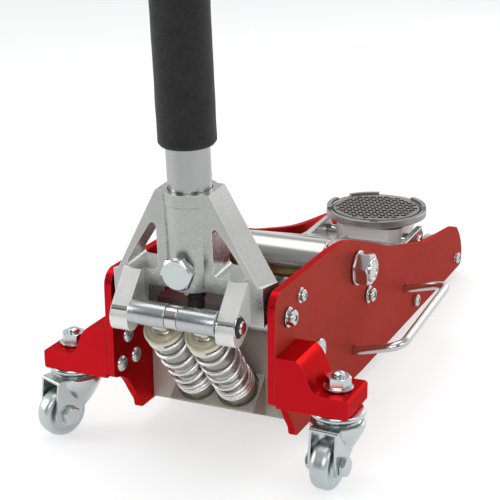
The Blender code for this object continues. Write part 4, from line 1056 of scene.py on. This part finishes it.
def build_lift_arm():
    for side, word in SIDES:
        refined(f"lift_arm_{word}", ARM_CAST, 0.6)
        refined(f"drag_link_{word}", ARM_CAST, 0.5)
        refined(f"tie_rod_{word}", STEEL, 0.5)
    put("arm_hub_tube", lathe(ring(10.35, 15.6, -44.7, 44.7, 0.5), 72, "X"), GOLD, ARM, "lift_arm_hub")
    outer = arc((0.0, 0.0), 19.3, 180.0, 72.0, 40)
    inner = arc((0.0, 0.0), 16.1, 72.0, 180.0, 40)
    sheet = outer + [(172.0, -35.4), (184.0, -37.6)] + [(183.4, -40.8), (171.2, -38.6)] + inner
    hood = prism(sheet, -44.7, 44.7, "YZ")
    slot = smooth(
        [(-16.0, 46.0), (-20.0, 60.0), (-16.0, 90.0), (0.0, 100.0), (16.0, 90.0), (20.0, 60.0), (16.0, 46.0)],
        6,
    )
    hood = carved(hood, ("-", prism(slot, -60.0, 40.0, "XY")))
    put("arm_hood_sheet", hood, HOOD, ARM, "lift_arm_hood", 0.3, angle=40.0)
    put(
        "saddle_pivot_pin", shift(lathe(rod(6.0, -53.0, 53.0, 0.9), 48, "X"), 0.0, 237.4, -49.6), STEEL, ARM,
        "saddle_pin",
    )

    # Stitch welds where the hood meets the cheeks.
    for side, word in SIDES:
        for k, (start, end) in enumerate(((172.0, 150.0), (128.0, 100.0))):
            bead, radii = [], []
            for n in range(41):
                a = radians(start + (end - start) * n / 40)
                bead.append((side * 44.4, 19.0 * cos(a), 19.0 * sin(a)))
                radii.append(1.25 + 0.28 * sin(n * 1.5) - (0.7 if n in (0, 40) else 0.0))
            put(f"hood_weld_{word}_{k}", sweep(bead, radii, 14), STEEL, ARM, sharp=80.0, body="lift_arm")


def build_ram():
    tube = [
        (17.0, 103.4), (20.9, 103.4), (21.0, 103.6), (21.0, 234.4), (20.2, 235.6), (19.0, 236.0),
        (9.7, 236.0),
        (9.3, 235.6), (9.3, 224.0), (17.0, 224.0),
    ]
    put("ram_cylinder", shift(lathe(tube, 80, "Y"), 0.0, 0.0, 66.0), STEEL_Y, JACK, "cylinder_tube")
    put(
        "ram_piston_rod", shift(lathe(rod(9.0, 150.0, 255.7, 0.8), 56, "Y"), 0.0, 0.0, 66.0), STEEL, JACK,
        "ram_rod",
    )
    refined("ram_crosshead", STEEL, 0.7)


def build_saddle():
    refined("saddle_bracket", MACHINED, 1.2, 3, angle=40.0)
    put(
        "tie_rod_front_pin", shift(lathe(rod(5.0, -60.5, 60.5, 0.7), 40, "X"), 0.0, 29.6, -32.9), STEEL,
        BRACKET, "tie_rod_pin",
    )

    bowl = [
        (0.0, -4.0), (44.6, -4.0), (44.9, -3.7), (44.9, -0.9), (45.4, -0.4), (49.4, -0.4), (50.0, -1.0),
        (50.0, -6.3), (49.5, -6.8),
    ]
    bowl_under = [
        (49.3, -6.9), (45.9, -8.5), (36.4, -11.6), (35.8, -11.7), (8.0, -11.7), (8.0, -19.5), (0.0, -19.5),
    ]
    ring_body = lathe(bowl + bowl_under, 120)
    walls = []
    for middle, half in ((124.0, 19.0), (38.0, 21.0), (188.0, 22.0), (286.0, 5.0)):
        outline = arc((0.0, 0.0), 49.6, middle - half, middle + half, 14)
        outline += arc((0.0, 0.0), 45.5, middle + half, middle - half, 14)
        walls.append(("+", prism(outline, -2.0, 2.4)))
    put("saddle_bowl", carved(ring_body, *walls), GREY_CAST, SADDLE, "saddle_ring", 0.5, angle=40.0)

    # The pad: staggered rows of blind holes, as in a moulded rubber insert.
    disc = lathe(
        [(0.0, -3.7), (43.2, -3.7), (43.7, -3.2), (43.7, -0.7), (43.2, -0.15), (42.4, 0.0), (0.0, 0.0)], 96,
    )
    holes = bmesh.new()
    pitch = 6.9
    for row in range(-7, 8):
        for column in range(-7, 8):
            x = (column + (0.5 if row % 2 else 0.0)) * pitch
            y = row * pitch * 0.86
            if hypot(x, y) > 40.0:
                continue
            turn = rot(24.0, "Z")
            outline = rounded([(-2.8, -2.35), (2.8, -2.35), (2.8, 2.35), (-2.8, 2.35)], 1.3, 3)
            cell = prism(outline, -2.6, 2.0)
            moved(cell, turn @ to(x, y, 0.0))
            mesh = bpy.data.meshes.new("cell")
            cell.to_mesh(mesh)
            cell.free()
            holes.from_mesh(mesh)
            bpy.data.meshes.remove(mesh)
    put("saddle_rubber", carved(disc, ("-", holes)), PAD, SADDLE, "saddle_pad", sharp=40.0)


# ---- wheels and casters

def build_front_wheels():
    tread = [
        (5.3, -12.0), (17.0, -12.0), (18.6, -11.6), (20.0, -12.0), (21.0, -11.6), (21.5, -10.8), (21.5, 10.8),
        (21.0, 11.6),
        (20.0, 12.0), (18.6, 11.6), (17.0, 12.0), (5.3, 12.0),
    ]
    for side, word in SIDES:
        wheel = JACK @ to(side * 46.0, 483.0, 21.5)
        put(f"front_roller_{word}", lathe(tread, 80, "X"), ZINC, wheel, f"front_wheel_{word}")


def build_casters():
    wheel_z = -30.7
    trail = -15.0
    for side, word in SIDES:
        place = CASTER[side]
        # A pressed fork: a dished head under the swivel race, drawn down into two parallel cheeks.
        dish = [
            (0.0, -24.0), (11.0, -24.0), (14.0, -19.2), (16.8, -14.0), (18.9, -10.0), (20.1, -6.8),
            (20.3, -4.4),
            (20.0, -2.6), (19.1, -1.8), (17.3, -1.7), (16.6, -1.2), (16.3, -0.3), (15.6, 0.0), (0.0, 0.0),
        ]
        hollow = [
            (0.0, -30.0), (5.9, -30.0), (9.2, -24.3), (12.6, -18.6), (15.2, -13.6), (17.2, -9.6),
            (18.3, -6.6), (18.3, -4.2),
            (0.0, -4.2),
        ]
        leg = rounded([
            (11.0, -1.8), (-23.6, -1.8), (-25.4, -16.0), (-26.0, wheel_z + 1.0), (-21.4, wheel_z - 7.6),
            (-10.6, wheel_z - 7.6), (-3.5, wheel_z + 2.0), (8.0, -20.0),
        ], [0.0, 1.6, 6.0, 5.0, 6.0, 6.0, 5.0, 6.0], 8)
        fork = carved(
            lathe(dish, 96),
            ("+", prism(leg, -11.2, 11.2, "YZ")),
            ("-", lathe(hollow, 80)),
            ("-", prism([(32.0, -4.2), (-42.0, -4.2), (-42.0, -60.0), (32.0, -60.0)], -9.2, 9.2, "YZ")),
            ("-", shift(lathe(rod(3.7, -20.0, 20.0, 0.1), 32, "X"), 0.0, trail, wheel_z)),
        )
        put(f"fork_{word}", fork, ZINC, place, f"caster_fork_{word}", 0.45, angle=38.0)

        top = [
            (0.0, 50.0), (7.0, 50.0), (7.0, 52.4), (14.0, 52.4), (17.4, 51.4), (19.5, 51.9), (20.3, 53.1),
            (20.3, 54.4),
            (19.6, 55.7), (18.0, 56.2), (5.0, 56.3),
        ]
        stem = joined(
            lathe(top + [(5.0, 81.0), (0.0, 81.0)], 72),
            lathe([(0.0, 80.8), (4.9, 80.8), (4.9, 82.4), (4.2, 83.9), (2.6, 84.6), (0.0, 84.8)], 40),
        )
        centre = JACK @ to(side * 108.9, 20.0, 0.0)
        put(f"caster_post_{word}", stem, ZINC, centre, f"caster_stem_{word}")
        nut = carved(hex_head(16.5, 74.1, 81.3, 12.0, 1.1, True), bore(5.25, 60.0, 95.0, 36))
        washer = lathe(ring(5.25, 11.0, 71.95, 74.0, 0.5), 56)
        put(f"caster_post_nut_{word}", joined(nut, washer), ZINC, centre, f"caster_nut_{word}", 0.2)

        hub = CASTER_WHEEL[side]
        half = 7.25
        profile = smooth([
            (4.1, -half - 1.0), (7.6, -half - 1.0), (8.2, -half - 0.2), (9.6, -half + 1.3),
            (12.0, -half + 1.15),
            (15.6, -half + 0.15), (17.8, -half + 1.2), (18.8, -half + 3.4), (19.0, -2.2), (19.0, 2.2),
            (18.8, half - 3.4),
            (17.8, half - 1.2), (15.6, half - 0.15), (12.0, half - 1.15), (9.6, half - 1.3),
            (8.2, half + 0.2),
            (7.6, half + 1.0), (4.1, half + 1.0),
        ], 4)
        put(f"caster_roll_{word}", lathe(profile, 88, "X"), SATIN, hub, f"caster_wheel_{word}")
        bolt = joined(
            moved(hex_head(13.2, 11.5, 15.9, 10.0, 1.4), rot(90.0, "Y")),
            moved(hex_head(13.2, 11.5, 15.6, 25.0, 1.4), rot(-90.0, "Y")),
            lathe(rod(3.5, -17.5, 14.0, 0.7), 36, "X"),
        )
        put(f"caster_axle_bolt_{word}", bolt, ZINC, hub, f"caster_axle_{word}", 0.2)


build_frame()
build_carry_handle()
build_lift_pivot()
build_pump()
build_release()
build_yoke()
build_foot_joint()
build_rollers()
build_clamp()
build_handle()
build_lift_arm()
build_ram()
build_saddle()
build_front_wheels()
build_casters()


# ---- stage

def build_stage():
    bm = bmesh.new()
    bmesh.ops.create_grid(bm, x_segments=8, y_segments=8, size=14.0)
    floor = made("studio_floor", bm)
    floor.data.materials.append(plain_floor())

    world = bpy.data.worlds.new("studio")
    bpy.context.scene.world = world
    world.use_nodes = True
    nodes, links = world.node_tree.nodes, world.node_tree.links
    direction = nodes.new("ShaderNodeTexCoord")
    split = nodes.new("ShaderNodeSeparateXYZ")
    links.new(direction.outputs["Generated"], split.inputs[0])

    def sky(greys):
        ramp = nodes.new("ShaderNodeValToRGB")
        ramp.color_ramp.interpolation = "EASE"
        stops = ramp.color_ramp.elements
        stops[0].position = 0.0
        stops[1].position = 1.0
        for position in (0.12, 0.30, 0.60):
            stops.new(position)
        for stop, grey in zip(stops, greys):
            stop.color = (grey, grey, grey * 1.01, 1.0)
        links.new(split.outputs["Z"], ramp.inputs["Fac"])
        return ramp.outputs["Color"]

    front = nodes.new("ShaderNodeMapRange")
    front.inputs["From Min"].default_value = -0.30
    front.inputs["From Max"].default_value = 0.25
    front.interpolation_type = "SMOOTHSTEP"
    links.new(split.outputs["Y"], front.inputs["Value"])
    ring = nodes.new("ShaderNodeMix")
    ring.data_type = "RGBA"
    links.new(front.outputs["Result"], ring.inputs[0])
    links.new(sky((0.12, 0.07, 0.14, 0.34, 0.42)), ring.inputs[6])
    links.new(sky((1.00, 0.95, 0.85, 0.50, 0.42)), ring.inputs[7])
    seen = nodes.new("ShaderNodeLightPath")
    choice = nodes.new("ShaderNodeMix")
    choice.data_type = "RGBA"
    choice.inputs[7].default_value = (1.0, 1.0, 1.0, 1.0)
    links.new(seen.outputs["Is Camera Ray"], choice.inputs[0])
    links.new(ring.outputs[2], choice.inputs[6])
    background = nodes["Background"]
    background.inputs["Strength"].default_value = 1.0
    links.new(choice.outputs[2], background.inputs["Color"])

    def softbox(name, position, target, width, height_m, power):
        data = bpy.data.lights.new(name, "AREA")
        data.shape = "RECTANGLE"
        data.size = width
        data.size_y = height_m
        data.energy = power
        light = bpy.data.objects.new(name, data)
        light.location = position
        light.rotation_euler = (Vector(target) - Vector(position)).to_track_quat("-Z", "Y").to_euler()
        light.visible_camera = False
        bpy.context.scene.collection.objects.link(light)

    softbox("top_box", (-0.4, 0.2, 2.2), (0.0, 0.0, 0.1), 2.0, 2.0, 20.0)
    softbox("left_box", (-2.0, -1.0, 0.9), (0.0, 0.0, 0.15), 1.0, 1.2, 15.0)
    softbox("right_box", (2.2, -0.5, 1.2), (0.0, 0.0, 0.15), 1.2, 1.2, 9.0)
    softbox("rear_box", (0.5, -2.3, 1.25), (0.0, 0.0, 0.1), 1.6, 0.9, 16.0)
    softbox("front_box", (0.6, 2.1, 1.2), (0.0, 0.1, 0.15), 1.5, 0.8, 9.0)


def build_camera():
    azimuth, elevation, roll = (radians(v) for v in (23.956, 18.196, -0.353))
    back = Vector((sin(azimuth) * cos(elevation), -cos(azimuth) * cos(elevation), sin(elevation)))
    camera = bpy.data.objects.new("camera", bpy.data.cameras.new("camera"))
    camera.data.lens = 96.23
    camera.data.sensor_width = 36.0
    turn = back.to_track_quat("Z", "Y").to_matrix().to_4x4() @ Matrix.Rotation(roll, 4, "Z")
    camera.matrix_world = to(0.407206, -1.020859, 0.463230) @ turn
    bpy.context.scene.collection.objects.link(camera)
    bpy.context.scene.camera = camera


build_stage()
build_camera()
bpy.context.scene.view_settings.view_transform = "Standard"
